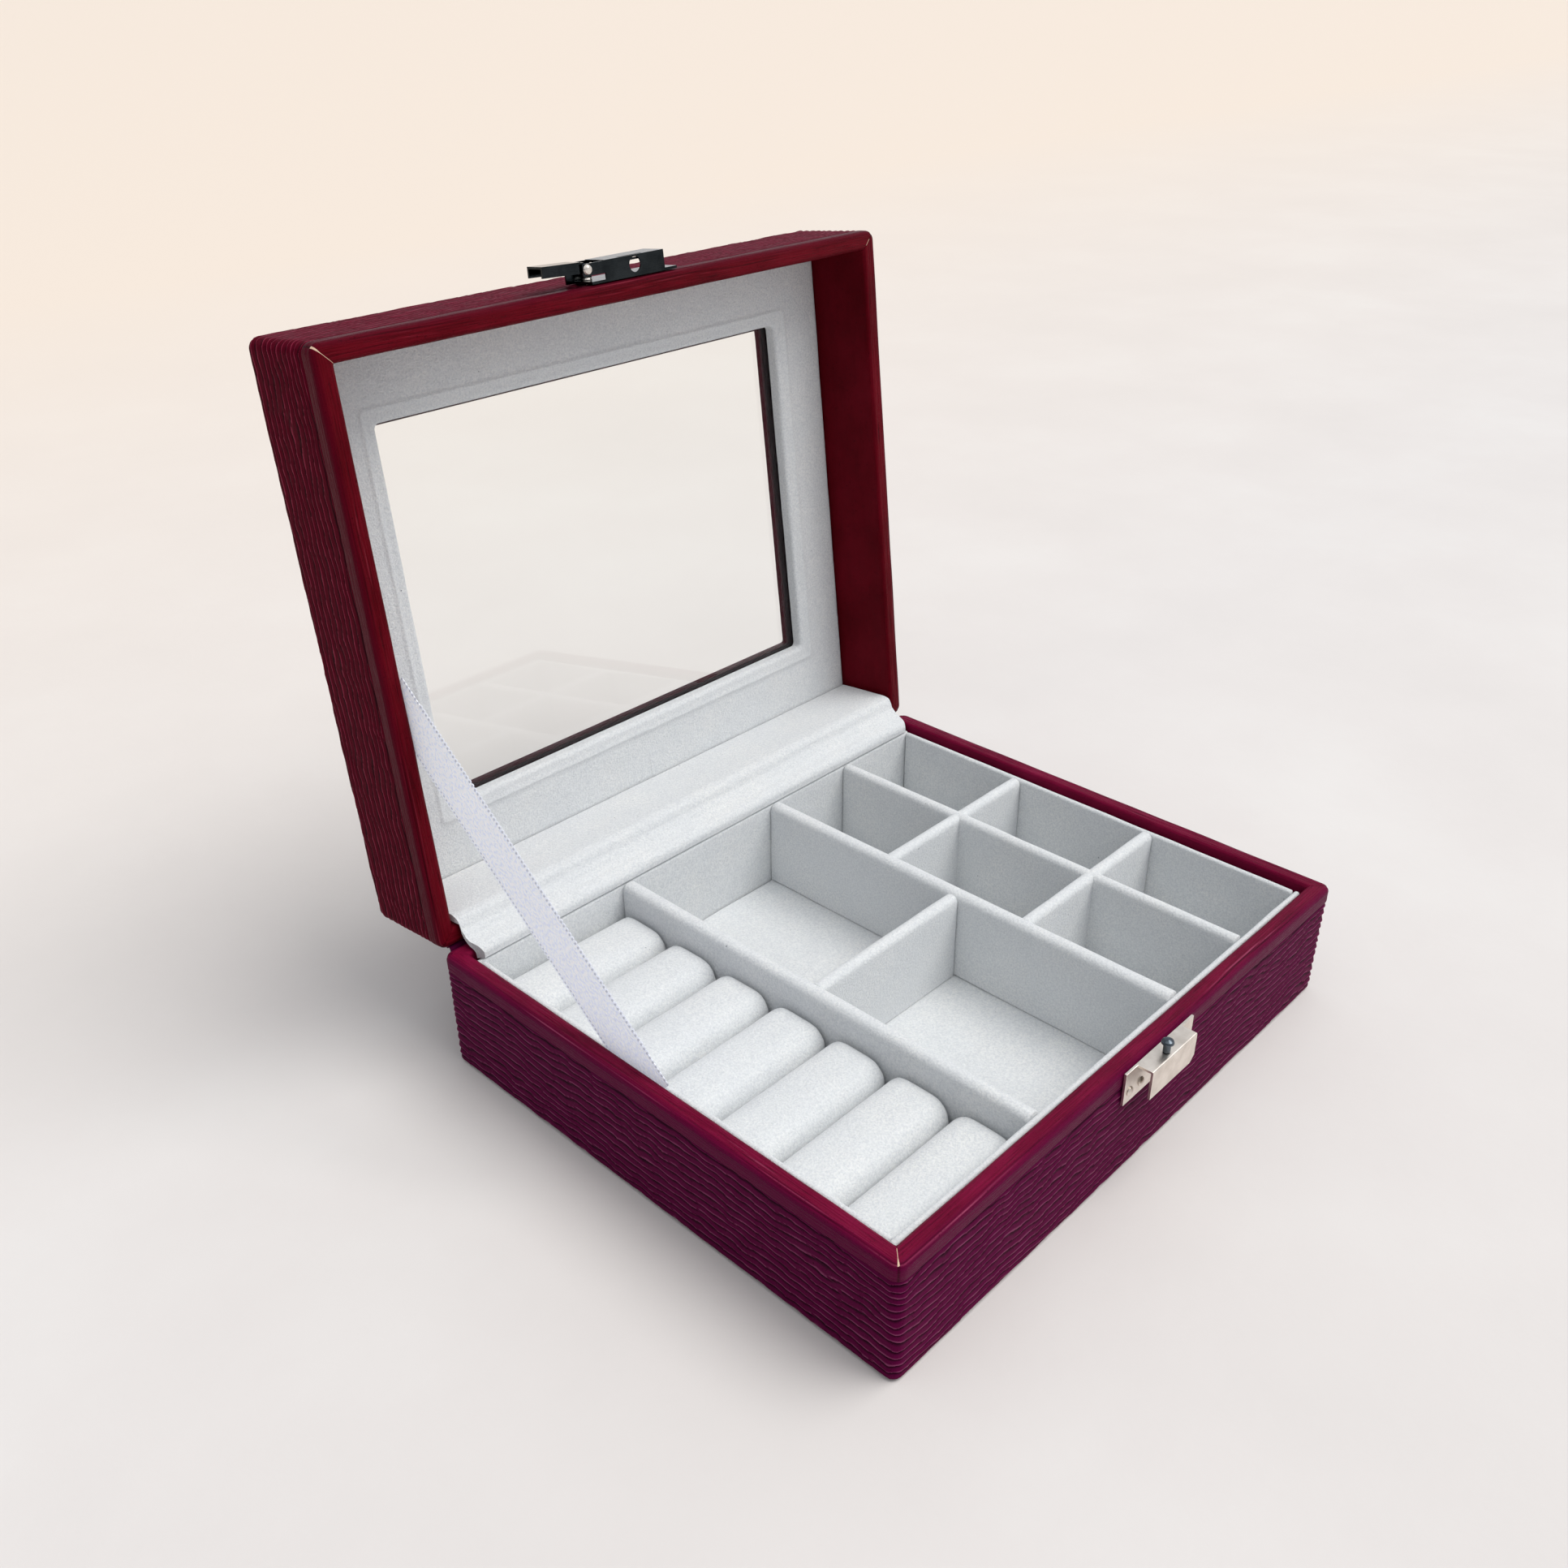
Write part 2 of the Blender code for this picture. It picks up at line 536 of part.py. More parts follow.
def nail(name, x, z, front, parent):
    head = 1.35 * MM
    base = SHEET + GAP + 0.05 * MM
    profile = [(0, -3.4 * MM), (0.5 * MM, -3.0 * MM), (0.5 * MM, base), (head, base), (head, base + 0.15 * MM),
               (head * 0.75, base + 0.45 * MM), (head * 0.4, base + 0.6 * MM), (0, base + 0.65 * MM)]
    bm = turned(profile, 16, (x, front, z), "-Y")
    finish(name, bm, "nickel", parent)


def keeper():
    front = -CASE_D / 2
    x0, x1 = KEEPER_X - LATCH_HALF, KEEPER_X + LATCH_HALF
    top, low, reach = KEEPER_TOP, 27.6 * MM, KEEPER_REACH
    bm = plate(x0 - 5.2 * MM, x1 + 5.8 * MM, GAP, GAP + SHEET, 26.3 * MM, top, front)
    shelf = plate(x0, x1, GAP, reach, top - SHEET, top, front)
    apron = plate(x0, x1, reach - SHEET, reach, low, top, front)
    round_edges(apron, lambda a, b: a.x > x1 - 1e-6 and b.x > x1 - 1e-6 and a.z < low + 1e-6 and b.z < low + 1e-6,
                1.8 * MM, 1)
    round_edges(apron, lambda a, b: a.z > top - 1e-6 and b.z > top - 1e-6 and abs(a.x - b.x) > 1 * MM
                and a.y < front - reach + 1e-6 and b.y < front - reach + 1e-6, 0.4 * MM, 3)
    cut = plate(x0 - 1 * MM, x1 + 1 * MM, reach - 0.45 * MM, reach + 1 * MM, top - 0.45 * MM, top + 1 * MM, front)
    shelf = combine(shelf, [cut], "DIFFERENCE")
    bm = combine(bm, [shelf, apron], "UNION")
    holes = [rod(x, z, 0.7 * MM, front - 2 * MM, front) for x, z in KEEPER_NAILS]
    bore = bmesh.new()
    bmesh.ops.create_cone(bore, cap_ends=True, segments=20, radius1=0.95 * MM, radius2=0.95 * MM, depth=4 * MM)
    bmesh.ops.translate(bore, verts=bore.verts, vec=(CATCH_X, front - STUD_OUT, top))
    bm = combine(bm, holes + [bore], "DIFFERENCE")
    finish("keeper_body", bm, "nickel")

    head = BASE_H + RIM_GAP + CATCH_LOW + 0.95 * MM
    foot = top - SHEET - 0.9 * MM
    profile = [(0, foot), (1.1 * MM, foot), (1.1 * MM, top - SHEET - 0.15 * MM), (0.75 * MM, top - SHEET - 0.15 * MM),
               (0.75 * MM, top + 0.15 * MM), (1.0 * MM, top + 0.25 * MM), (1.0 * MM, head), (1.7 * MM, head),
               (1.68 * MM, head + 0.3 * MM), (1.45 * MM, head + 0.75 * MM), (1.0 * MM, head + 1.08 * MM),
               (0.5 * MM, head + 1.24 * MM), (0, head + 1.3 * MM)]
    bm = turned(profile, 24, (CATCH_X, front - STUD_OUT, 0.0))
    finish("keeper_stud", bm, "steel")
    for number, (x, z) in enumerate(KEEPER_NAILS, 1):
        nail(f"keeper_nail_{number}", x, z, front, None)


def catch(pivot):
    front = -CASE_D
    rim = RIM_GAP / 2
    x0, x1 = CATCH_X - LATCH_HALF, CATCH_X + LATCH_HALF
    low, high, reach = rim + CATCH_LOW, rim + CATCH_LOW + 8.2 * MM, CATCH_REACH
    ear = PIN_X - 1.6 * MM
    bm = plate(x0 - 5.0 * MM, x1 + 4.4 * MM, GAP, GAP + SHEET, low, rim + 11.0 * MM, front)
    pieces = [plate(x0, x1, GAP + 0.1 * MM, reach, low, low + 0.45 * MM, front),
              plate(x0, x1, reach - SHEET, reach, low, high, front),
              plate(ear, x0 + 1 * MM, 2.6 * MM, reach - 0.1 * MM, low, low + 0.45 * MM, front),
              plate(ear, x0 + 1 * MM, GAP + 0.1 * MM, reach - 0.1 * MM, high - 0.7 * MM, high - 0.1 * MM, front)]
    bm = combine(bm, pieces, "UNION")

    hole = bmesh.new()
    bmesh.ops.create_cone(hole, cap_ends=True, segments=28, radius1=2.05 * MM, radius2=2.05 * MM, depth=3 * MM)
    bmesh.ops.translate(hole, verts=hole.verts, vec=(CATCH_X, front - STUD_OUT, low))
    bores = []
    for z in (low, high):
        bore = bmesh.new()
        bmesh.ops.create_cone(bore, cap_ends=True, segments=16, radius1=0.76 * MM, radius2=0.76 * MM, depth=3 * MM)
        bmesh.ops.translate(bore, verts=bore.verts, vec=(PIN_X, front - PIN_OUT, z))
        bores.append(bore)
    slot = plate(CATCH_X - 5.4 * MM, CATCH_X + 3.2 * MM, reach - 1.2 * MM, reach + 1 * MM,
                 low + 0.45 * MM, low + 1.3 * MM, front)
    nails = [rod(x, rim + z, 0.7 * MM, front - 2 * MM, front) for x, z in CATCH_NAILS]
    bm = combine(bm, [hole, slot] + bores + nails, "DIFFERENCE")
    finish("catch_body", bm, "nickel", pivot)
    for number, (x, z) in enumerate(CATCH_NAILS, 1):
        nail(f"catch_nail_{number}", x, rim + z, front, pivot)

    under, over = low - 0.05 * MM, high - 0.05 * MM
    profile = [(0, under - 0.75 * MM), (0.6 * MM, under - 0.7 * MM), (1.15 * MM, under - 0.45 * MM),
               (1.4 * MM, under), (0.7 * MM, under), (0.7 * MM, over), (1.2 * MM, over),
               (1.05 * MM, over + 0.35 * MM), (0.6 * MM, over + 0.6 * MM), (0, over + 0.65 * MM)]
    bm = turned(profile, 20, (PIN_X, front - PIN_OUT, 0.0))
    finish("catch_pin", bm, "nickel", pivot)

    lever(pivot, front, low + 0.6 * MM)
    spring(pivot, front, low + 5.5 * MM, high - 0.85 * MM)


def lever(pivot, front, base):
    """Thumb lever: a folded channel, a barrel on the pin, and a thin hook that reaches the stud's neck."""
    axis = bpy.data.objects.new("catch_lever_axis", None)
    bpy.context.scene.collection.objects.link(axis)
    axis.parent = pivot
    axis.location = (PIN_X, front - PIN_OUT, 0.0)
    barrel = bmesh.new()
    bmesh.ops.create_cone(barrel, cap_ends=True, segments=24, radius1=1.4 * MM, radius2=1.4 * MM, depth=4.7 * MM)
    bmesh.ops.translate(barrel, verts=barrel.verts, vec=(0, 0, base + 2.4 * MM))
    hook = [(-0.4, 0.9), (11.2, 1.0), (13.6, 0.2), (14.6, -0.28), (18.6, -0.28), (18.6, -0.85), (14.2, -0.85),
            (11.4, 0.3), (0.0, -0.9)]
    arm = prism([(x * MM, y * MM) for x, y in hook], base, base + 0.3 * MM)
    tall = 6.4 * MM
    channel = box((-14.4 * MM, -2.0 * MM, base + 0.1 * MM), (-1.5 * MM, 0.9 * MM, base + tall))
    inside = box((-16.0 * MM, -1.4 * MM, base + 0.7 * MM), (-1.0 * MM, 2.0 * MM, base + tall - 0.6 * MM))
    channel = combine(channel, [inside], "DIFFERENCE")
    web = box((-2.3 * MM, -1.8 * MM, base + 0.3 * MM), (-0.3 * MM, -0.9 * MM, base + 4.4 * MM))
    flare = Matrix.Rotation(math.radians(2.5), 4, "Z")
    for piece in (channel, web):
        bmesh.ops.transform(piece, matrix=flare, verts=piece.verts)
    bm = combine(barrel, [arm, channel, web], "UNION")
    bore = bmesh.new()
    bmesh.ops.create_cone(bore, cap_ends=True, segments=20, radius1=0.85 * MM, radius2=0.85 * MM, depth=12 * MM)
    bmesh.ops.translate(bore, verts=bore.verts, vec=(0, 0, base + 2.4 * MM))
    bm = combine(bm, [bore], "DIFFERENCE")
    finish("catch_lever", bm, "nickel", axis)


def spring(pivot, front, z0, z1):
    """Torsion spring wound on the pin above the lever's barrel."""
    wire, radius, turns, steps = 0.2 * MM, 1.15 * MM, 3, 14
    total = turns * steps
    bm = bmesh.new()
    loops = []
    for i in range(total + 1):
        a = 2 * math.pi * i / steps
        out = Vector((math.cos(a), math.sin(a), 0))
        centre = Vector((PIN_X, front - PIN_OUT, z0 + wire + (z1 - z0 - 2 * wire) * i / total)) + out * radius
        ring = []
        for k in range(6):
            b = 2 * math.pi * k / 6
            ring.append(centre + out * wire * math.cos(b) + Vector((0, 0, wire * math.sin(b))))
        loops.append(ring)
    join_loops(bm, loops, False)
    finish("catch_spring", bm, "steel", pivot)


# ---------------------------------------------------------------- build
def build():
    clear_scene()
    base_carcass()
    inside_x, inside_y = tray()
    dividers(inside_x, inside_y)
    ring_rolls(inside_x, inside_y)
    pivot = lid_frame()
    lid(pivot)
    hinge_pieces()
    ribbon()
    keeper()
    catch(pivot)


build()
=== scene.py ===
import math

import bmesh
import bpy
from mathutils import Matrix, Vector, noise


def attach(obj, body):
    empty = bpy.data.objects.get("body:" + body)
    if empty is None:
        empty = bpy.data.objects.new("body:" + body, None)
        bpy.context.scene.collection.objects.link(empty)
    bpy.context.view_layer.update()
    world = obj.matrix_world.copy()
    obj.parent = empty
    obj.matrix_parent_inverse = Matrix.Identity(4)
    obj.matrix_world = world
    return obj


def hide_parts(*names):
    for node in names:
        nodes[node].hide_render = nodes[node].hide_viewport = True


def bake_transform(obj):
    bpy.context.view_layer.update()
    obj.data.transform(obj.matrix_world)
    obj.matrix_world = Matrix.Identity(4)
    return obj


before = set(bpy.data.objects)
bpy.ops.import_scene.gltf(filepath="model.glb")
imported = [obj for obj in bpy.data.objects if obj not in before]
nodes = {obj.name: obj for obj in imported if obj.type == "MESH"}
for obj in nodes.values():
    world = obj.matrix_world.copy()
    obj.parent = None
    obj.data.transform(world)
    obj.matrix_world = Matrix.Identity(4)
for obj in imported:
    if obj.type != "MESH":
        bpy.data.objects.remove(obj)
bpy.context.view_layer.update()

MM = 0.001
scene = bpy.context.scene

# ---------------------------------------------------------------- camera
# A normal lens held above the near left corner of the case, looking down into the open tray.
lens = bpy.data.cameras.new("camera")
lens.lens = 34.21882
lens.sensor_width = 36.0
camera = bpy.data.objects.new("camera", lens)
camera.location = (-0.27648551, -0.21822086, 0.28335192)
camera.rotation_euler = (1.04892995, 0.00617968, -0.81157730)
scene.collection.objects.link(camera)
scene.camera = camera
scene.view_settings.view_transform = "Standard"


# ---------------------------------------------------------------- boards
# The carcass: fibreboard walls, bottom and window frame, butted and glued. Leatherette and velvet hide
# all of it but the cut faces at the glue gaps. The underside is closed with a flocked sheet.
def linear(code):
    """A colour code such as 7a1f3c as the light values a shader takes."""
    parts = [int(code[i:i + 2], 16) / 255 for i in (0, 2, 4)]
    return tuple(((c + 0.055) / 1.055) ** 2.4 if c > 0.04045 else c / 12.92 for c in parts) + (1.0,)


def new_finish(name, **sockets):
    """A material and its shader, with the settings that are the same all over the surface."""
    finish = bpy.data.materials.new(name)
    finish.use_nodes = True
    shader = finish.node_tree.nodes["Principled BSDF"]
    for socket, value in sockets.items():
        shader.inputs[socket.replace("_", " ")].default_value = value
    return finish, shader


def node(finish, kind, inputs, **settings):
    """One shader node, its inputs given as plain values or as the output of another node."""
    made = finish.node_tree.nodes.new("ShaderNode" + kind)
    for key, value in settings.items():
        setattr(made, key, value)
    for socket, value in inputs.items():
        if isinstance(value, bpy.types.NodeSocket):
            finish.node_tree.links.new(value, made.inputs[socket])
        else:
            made.inputs[socket].default_value = value
    return made


def place_on(finish, stretch=(1.0, 1.0, 1.0)):
    """Places on the piece in metres, stretched for grain that runs one way."""
    where = node(finish, "TexCoord", {})
    return node(finish, "Mapping", {"Vector": where.outputs["Object"], "Scale": stretch}).outputs["Vector"]


def grain(finish, where, scale, detail=3.0, rough=0.55):
    return node(finish, "TexNoise", {"Vector": where, "Scale": scale, "Detail": detail,
                                     "Roughness": rough}).outputs["Fac"]


def ramp(finish, amount, stops):
    made = node(finish, "ValToRGB", {"Fac": amount})
    marks = made.color_ramp.elements
    marks[0].position, marks[0].color = stops[0][0], linear(stops[0][1])
    marks[1].position, marks[1].color = stops[-1][0], linear(stops[-1][1])
    for position, code in stops[1:-1]:
        marks.new(position).color = linear(code)
    return made.outputs["Color"]


def mixed(finish, amount, first, second, way="MIX"):
    return node(finish, "Mix", {0: amount, 6: first, 7: second}, data_type="RGBA", blend_type=way).outputs[2]


def between(finish, amount, low, high):
    """The amount, 0 to 1, turned into a number from low to high."""
    return node(finish, "MapRange", {"Value": amount, "To Min": low, "To Max": high}).outputs["Result"]


def above(finish, amount, start, end):
    """0 below start, 1 above end."""
    return node(finish, "MapRange", {"Value": amount, "From Min": start, "From Max": end}).outputs["Result"]


def maths(finish, way, first, second=0.5):
    return node(finish, "Math", {0: first, 1: second}, operation=way).outputs[0]


def mark(finish, name):
    """The value a piece's mesh holds under that name."""
    return node(finish, "Attribute", {}, attribute_name=name).outputs["Fac"]


def relief(finish, shader, layers):
    """Fine relief: layers of (height, strength, depth in metres) on top of one another."""
    normal = None
    for height, strength, depth in layers:
        inputs = {"Height": height, "Strength": strength, "Distance": depth}
        if normal is not None:
            inputs["Normal"] = normal
        normal = node(finish, "Bump", inputs).outputs["Normal"]
    finish.node_tree.links.new(normal, shader.inputs["Normal"])


def connect(finish, out, socket):
    finish.node_tree.links.new(out, socket)


def wear(name, finish):
    """Give a part of the frame its real finish."""
    nodes[name].data.materials.clear()
    nodes[name].data.materials.append(finish)


fibreboard, shader = new_finish("fibreboard", Roughness=0.85)
where = place_on(fibreboard)
connect(fibreboard, ramp(fibreboard, grain(fibreboard, where, 900, 5), [(0.3, "6b4a2c"), (0.55, "93704a"),
                                                                       (0.8, "ab8a60")]), shader.inputs["Base Color"])
relief(fibreboard, shader, [(grain(fibreboard, where, 1500, 4), 0.4, 0.0002)])
for part in ("base_front_wall", "base_back_wall", "base_left_wall", "base_right_wall", "base_bottom_panel",
             "lid_front_wall", "lid_back_wall", "lid_left_wall", "lid_right_wall"):
    wear(part, fibreboard)

stained, shader = new_finish("stained fibreboard", Roughness=0.7)
where = place_on(stained)
connect(stained, ramp(stained, grain(stained, where, 900, 5), [(0.3, "22060e"), (0.8, "3c0f1c")]),
        shader.inputs["Base Color"])
relief(stained, shader, [(grain(stained, where, 1500, 4), 0.4, 0.0002)])
wear("lid_top_frame", stained)

flock, shader = new_finish("flocked underside", Roughness=0.95, Sheen_Weight=0.3, Sheen_Roughness=0.6)
where = place_on(flock)
connect(flock, ramp(flock, grain(flock, where, 1400, 4), [(0.3, "1d070d"), (0.6, "30101a"), (0.85, "45202b")]),
        shader.inputs["Base Color"])
relief(flock, shader, [(grain(flock, where, 2500, 2), 0.5, 0.0002)])
wear("base_underside_cover", flock)


# ---------------------------------------------------------------- ribbed leatherette of the base
# Embossed leatherette, one strip stretched round the four walls and turned under the bottom. Wavy ribs
# run level all the way round, like shingles: each climbs to a crest and drops into a groove. The crests
# are painted pale as a highlight and the grooves dark as shade.
CASE_W, CASE_D, BASE_H = 200.0 * MM, 164.6 * MM, 37.0 * MM
CORNER_R, EDGE_R, SKIN = 3.0 * MM, 1.6 * MM, 0.8 * MM
RIB_PITCH, RIB_DEPTH, RIB_STEP = 2.35 * MM, 0.45 * MM, 0.20 * MM
CLIMB, CREST, GROOVE = 0.76, 0.90, 0.28     # shares of the pitch where the climb and the drop end; a groove's height
PLAIN_RIB = 0.4                             # the height that colours leather without ribs


def rib_height(along, down):
    """How high the emboss stands at a place on the sheet: 0 in a groove, 1 on a crest."""
    slow = noise.noise(Vector((along * 45, down * 60, 3.0)))
    kinks = noise.noise(Vector((along * 210, down * 170, 11.0)))
    fine = noise.noise(Vector((along * 520, down * 260, 17.0)))
    turn = (down / RIB_PITCH + 0.80 * slow + 0.42 * kinks + 0.14 * fine) % 1.0
    if turn < CLIMB:
        height = GROOVE + (1.0 - GROOVE) * (turn / CLIMB) ** 1.3
    elif turn < CREST:
        drop = (turn - CLIMB) / (CREST - CLIMB)
        height = 1.0 - drop * drop * (3 - 2 * drop)
    else:
        height = GROOVE * (turn - CREST) / (1.0 - CREST)
    worn = 1.0 + 0.14 * noise.noise(Vector((along * 160, down * 420, 23.0)))
    return max(0.0, min(1.0, height * worn))


def outline_stations(spacing, corner_steps=8):
    """Places round a rounded rectangle, from the middle of the back: (side x, side y, turn, distance gone)."""
    run_x, run_y = CASE_W - 2 * CORNER_R, CASE_D - 2 * CORNER_R
    legs = [((0, 1), (-1, 1), 90, run_x / 2), ((-1, 1), (-1, -1), 180, run_y), ((-1, -1), (1, -1), 270, run_x),
            ((1, -1), (1, 1), 360, run_y), ((1, 1), (0, 1), 450, run_x / 2)]
    found, gone = [], 0.0
    for number, (start, end, turn, length) in enumerate(legs):
        steps = max(2, round(length / spacing))
        last = number == len(legs) - 1
        for k in range(steps + last):
            t = k / steps
            found.append((start[0] + (end[0] - start[0]) * t, start[1] + (end[1] - start[1]) * t,
                          math.radians(turn), gone + length * t))
        gone += length
        if not last:
            for k in range(corner_steps):
                t = k / corner_steps
                found.append((end[0], end[1], math.radians(turn + 90 * t), gone + CORNER_R * math.pi / 2 * t))
            gone += CORNER_R * math.pi / 2
    return found


def inset_row(inset, height, ribs=0.0, drop=None):
    """One line of a skin, parallel to the outside of the case and inset from it."""
    return (CASE_W / 2 - inset, CASE_D / 2 - inset, max(CORNER_R - inset, 0.6 * MM), height, 0.0, ribs, drop)


def share_above(value, start, fade):
    """0 up to start, and 1 from fade above it."""
    return max(0.0, min(1.0, (value - start) / fade))


def round_skin(rows, stations, side, dress, marks=(), place=Matrix.Identity(4)):
    """A closed skin over rounded rectangles: rows are (half x, half y, corner radius, height, middle y,
    share of the pattern, distance down the sheet). dress gives push outwards, then the value of each mark."""
    skin = bmesh.new()
    layers = [skin.verts.layers.float.new(name) for name in marks]
    across, down = len(stations) - 1, len(rows) - 1
    bmesh.ops.create_grid(skin, x_segments=across, y_segments=down, size=0.5)
    for vert in skin.verts:
        i, j = round((vert.co.x + 0.5) * across), round((vert.co.y + 0.5) * down)
        side_x, side_y, turn, gone = stations[i]
        half_x, half_y, radius, height, middle, share, depth = rows[j]
        before, after = rows[max(j - 1, 0)], rows[min(j + 1, down)]
        run = Vector((before[0] - after[0], after[3] - before[3]))
        if run.length > 0:
            run.normalize()
        out, up = side * run.y, side * run.x
        push, *values = dress(gone, depth, share, i, j)
        x = side_x * (half_x + out * push - radius) + radius * math.cos(turn)
        y = side_y * (half_y + out * push - radius) + radius * math.sin(turn)
        vert.co = place @ Vector((x, y + middle, height + up * push))
        for layer, value in zip(layers, values):
            vert[layer] = value
    return skin


def make_piece(name, shape, finish, body, stands_for=(), sharp=50.0, weld=1e-6, flip=True):
    """Weld, point the faces outwards, round the shading, and hand the piece to its body."""
    bmesh.ops.remove_doubles(shape, verts=shape.verts, dist=weld)
    if flip:
        bmesh.ops.recalc_face_normals(shape, faces=shape.faces)
    for face in shape.faces:
        face.smooth = True
    for edge in shape.edges:
        edge.smooth = len(edge.link_faces) == 2 and edge.calc_face_angle(0.0) < math.radians(sharp)
    mesh = bpy.data.meshes.new(name)
    shape.to_mesh(mesh)
    shape.free()
    piece = bpy.data.objects.new(name, mesh)
    scene.collection.objects.link(piece)
    mesh.materials.append(finish)
    if body:
        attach(piece, body)
    if stands_for:
        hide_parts(*stands_for)
    return piece


def rib_finish(name, groove_and_pore_shade, mid, light, haze):
    finish, shader = new_finish(name, Specular_IOR_Level=0.03, Specular_Tint=(1.0, 0.4, 0.6, 1.0),
                                Sheen_Weight=0.22, Sheen_Roughness=0.22, Sheen_Tint=(1.0, 0.22, 0.36, 1.0))
    where = place_on(finish)
    rib = mark(finish, "rib")
    patches = grain(finish, where, 70, 3)
    pores = grain(finish, where, 2200, 3)
    # The rib mark paints the grooves dark as shade and the crests in the light tone as a painted highlight; the pores
    # get the same painted shade.
    colour = ramp(finish, rib, [(0.0, groove_and_pore_shade), (0.26, groove_and_pore_shade), (0.48, mid), (0.80, mid), (0.94, light), (1.0, light)])
    colour = mixed(finish, between(finish, patches, 0.0, 0.25), colour, linear(haze))
    colour = mixed(finish, above(finish, pores, 0.62, 0.75), colour, linear(groove_and_pore_shade))
    connect(finish, colour, shader.inputs["Base Color"])
    connect(finish, between(finish, grain(finish, where, 500, 3), 0.38, 0.62), shader.inputs["Roughness"])
    relief(finish, shader, [(pores, 0.35, 0.00015), (grain(finish, where, 700, 3), 0.3, 0.0002)])
    return finish


ribbed = rib_finish("ribbed leatherette", "18020f", "560836", "7f3c5e", "44062e")


def rib_dress(gone, depth, share, i, j):
    if depth is None:
        return 0.0, PLAIN_RIB
    height = rib_height(gone, depth)
    return -RIB_DEPTH * share * (1.0 - height), PLAIN_RIB + (height - PLAIN_RIB) * share


stations = outline_stations(1.6 * MM)
bottom_r, low, margin, top = 1.5 * MM, 0.2 * MM, 14.0 * MM, 33.4 * MM
tuck_start, tuck_fade, tuck_in = 31.0 * MM, 1.4 * MM, 0.4 * MM     # where it dives under the plain band
rows, count = [], round((top - low - bottom_r) / RIB_STEP)
for k in range(count + 1):
    height = top - (top - low - bottom_r) * k / count
    tuck = share_above(height, tuck_start, tuck_fade)
    rows.append(inset_row(tuck_in * tuck, height, 1.0 - 0.6 * tuck, top - height))
for k in range(1, 7):
    a = math.radians(90 * k / 6)
    rows.append(inset_row(bottom_r * (1 - math.cos(a)), low + bottom_r * (1 - math.sin(a)), 1.0 - k / 6,
                          top - low - bottom_r + bottom_r * a))
rows += [inset_row(6 * MM, low), inset_row(margin, low), inset_row(margin, low + SKIN),
         inset_row(bottom_r, low + SKIN), inset_row(SKIN, low + bottom_r), inset_row(SKIN + 0.1 * MM, top)]
rows.append(rows[0])
make_piece("ribbed_leather_base", round_skin(rows, stations, -1, rib_dress, ["rib"]), ribbed, "base",
           ["base_leather_wrap"])


# ---------------------------------------------------------------- plain bands over both rims
# Smooth crimson leatherette folded over each rim and glued down inside, mitred at the corners. Its outer
# edge is puckered over the ribs. It is creased lengthwise, with painted shade in the creases and a painted
# highlight beside them, and split to the beige backing at three corners. Its outer face is painted darker
# as shade than its top.
RIM_W, BAND_DROP, RIM_GAP, OPEN = 5.5 * MM, 5.0 * MM, 0.6 * MM, math.radians(96.3)
LID = Matrix.Translation((0, CASE_D / 2, BASE_H + RIM_GAP / 2)) @ Matrix.Rotation(-OPEN, 4, "X")
BAND_MARKS = ["crease", "bare", "outside", "shine_beside_crease", "run", "across"]
FOLDED_AT = 20     # the row at the rim's inner edge, where the mark "across" is 1


def band_finish(name, deep, usual, bright, crease_tone, outer, painted_shine):
    finish, shader = new_finish(name, Specular_IOR_Level=0.05, Specular_Tint=(1.0, 0.35, 0.5, 1.0))
    where = place_on(finish)
    crease, bare, outside, shine_beside_crease, run, across = (mark(finish, name) for name in BAND_MARKS)
    patches, pores = grain(finish, where, 45, 4), grain(finish, where, 1900, 3)
    colour = ramp(finish, patches, [(0.25, deep), (0.5, usual), (0.8, bright)])
    strands = node(finish, "CombineXYZ", {"X": maths(finish, "MULTIPLY", run, 70.0),
                                          "Y": maths(finish, "MULTIPLY", across, 16.0)})
    wrinkles = grain(finish, strands.outputs["Vector"], 1.0, 4, 0.6)
    on_rim = node(finish, "MapRange", {"Value": across, "From Min": 1.05, "From Max": 1.4, "To Min": 1.0,
                                       "To Max": 0.15}).outputs["Result"]
    # On the rim's top the wrinkles get a painted highlight on their ridges and painted shade in their creases.
    for start, end, strength, tone in ((0.50, 0.72, 0.8, bright), (0.46, 0.32, 0.6, crease_tone)):
        amount = maths(finish, "MULTIPLY", above(finish, wrinkles, start, end), strength)
        colour = mixed(finish, maths(finish, "MULTIPLY", amount, on_rim), colour, linear(tone))
    wrinkles = maths(finish, "MULTIPLY", wrinkles, on_rim)
    # Over that: the outer face painted darker as shade, a painted highlight beside each crease, the creases, puckers
    # and pores painted dark as shade along with the dark mitre lines, and the beige backing where it is split.
    for amount, tone in ((outside, outer), (above(finish, shine_beside_crease, 0.2, 1.0), painted_shine),
                         (above(finish, crease, 0.15, 0.8), crease_tone),
                         (above(finish, pores, 0.6, 0.8), crease_tone), (above(finish, bare, 0.35, 0.6), "e0bfa6")):
        colour = mixed(finish, amount, colour, linear(tone))
    connect(finish, colour, shader.inputs["Base Color"])
    connect(finish, between(finish, grain(finish, where, 260, 4), 0.3, 0.5), shader.inputs["Roughness"])
    relief(finish, shader, [(pores, 0.3, 0.00012), (wrinkles, 0.7, 0.0006)])
    return finish


plain = band_finish("plain leatherette", "5c0826", "690c2c", "7e143a", "38041a", "5a0634", "a04a68")
plain_lid = band_finish("plain leatherette of the lid", "4c040d", "5a0713", "6a0c1b", "2a0308", "50041a", "943444")


def arc(middle_a, middle_b, radius, start, end, steps):
    """Points of an arc about a middle, its start and end given in degrees."""
    turn = [math.radians(start + (end - start) * k / steps) for k in range(steps + 1)]
    return [(middle_a + radius * math.cos(a), middle_b + radius * math.sin(a)) for a in turn]


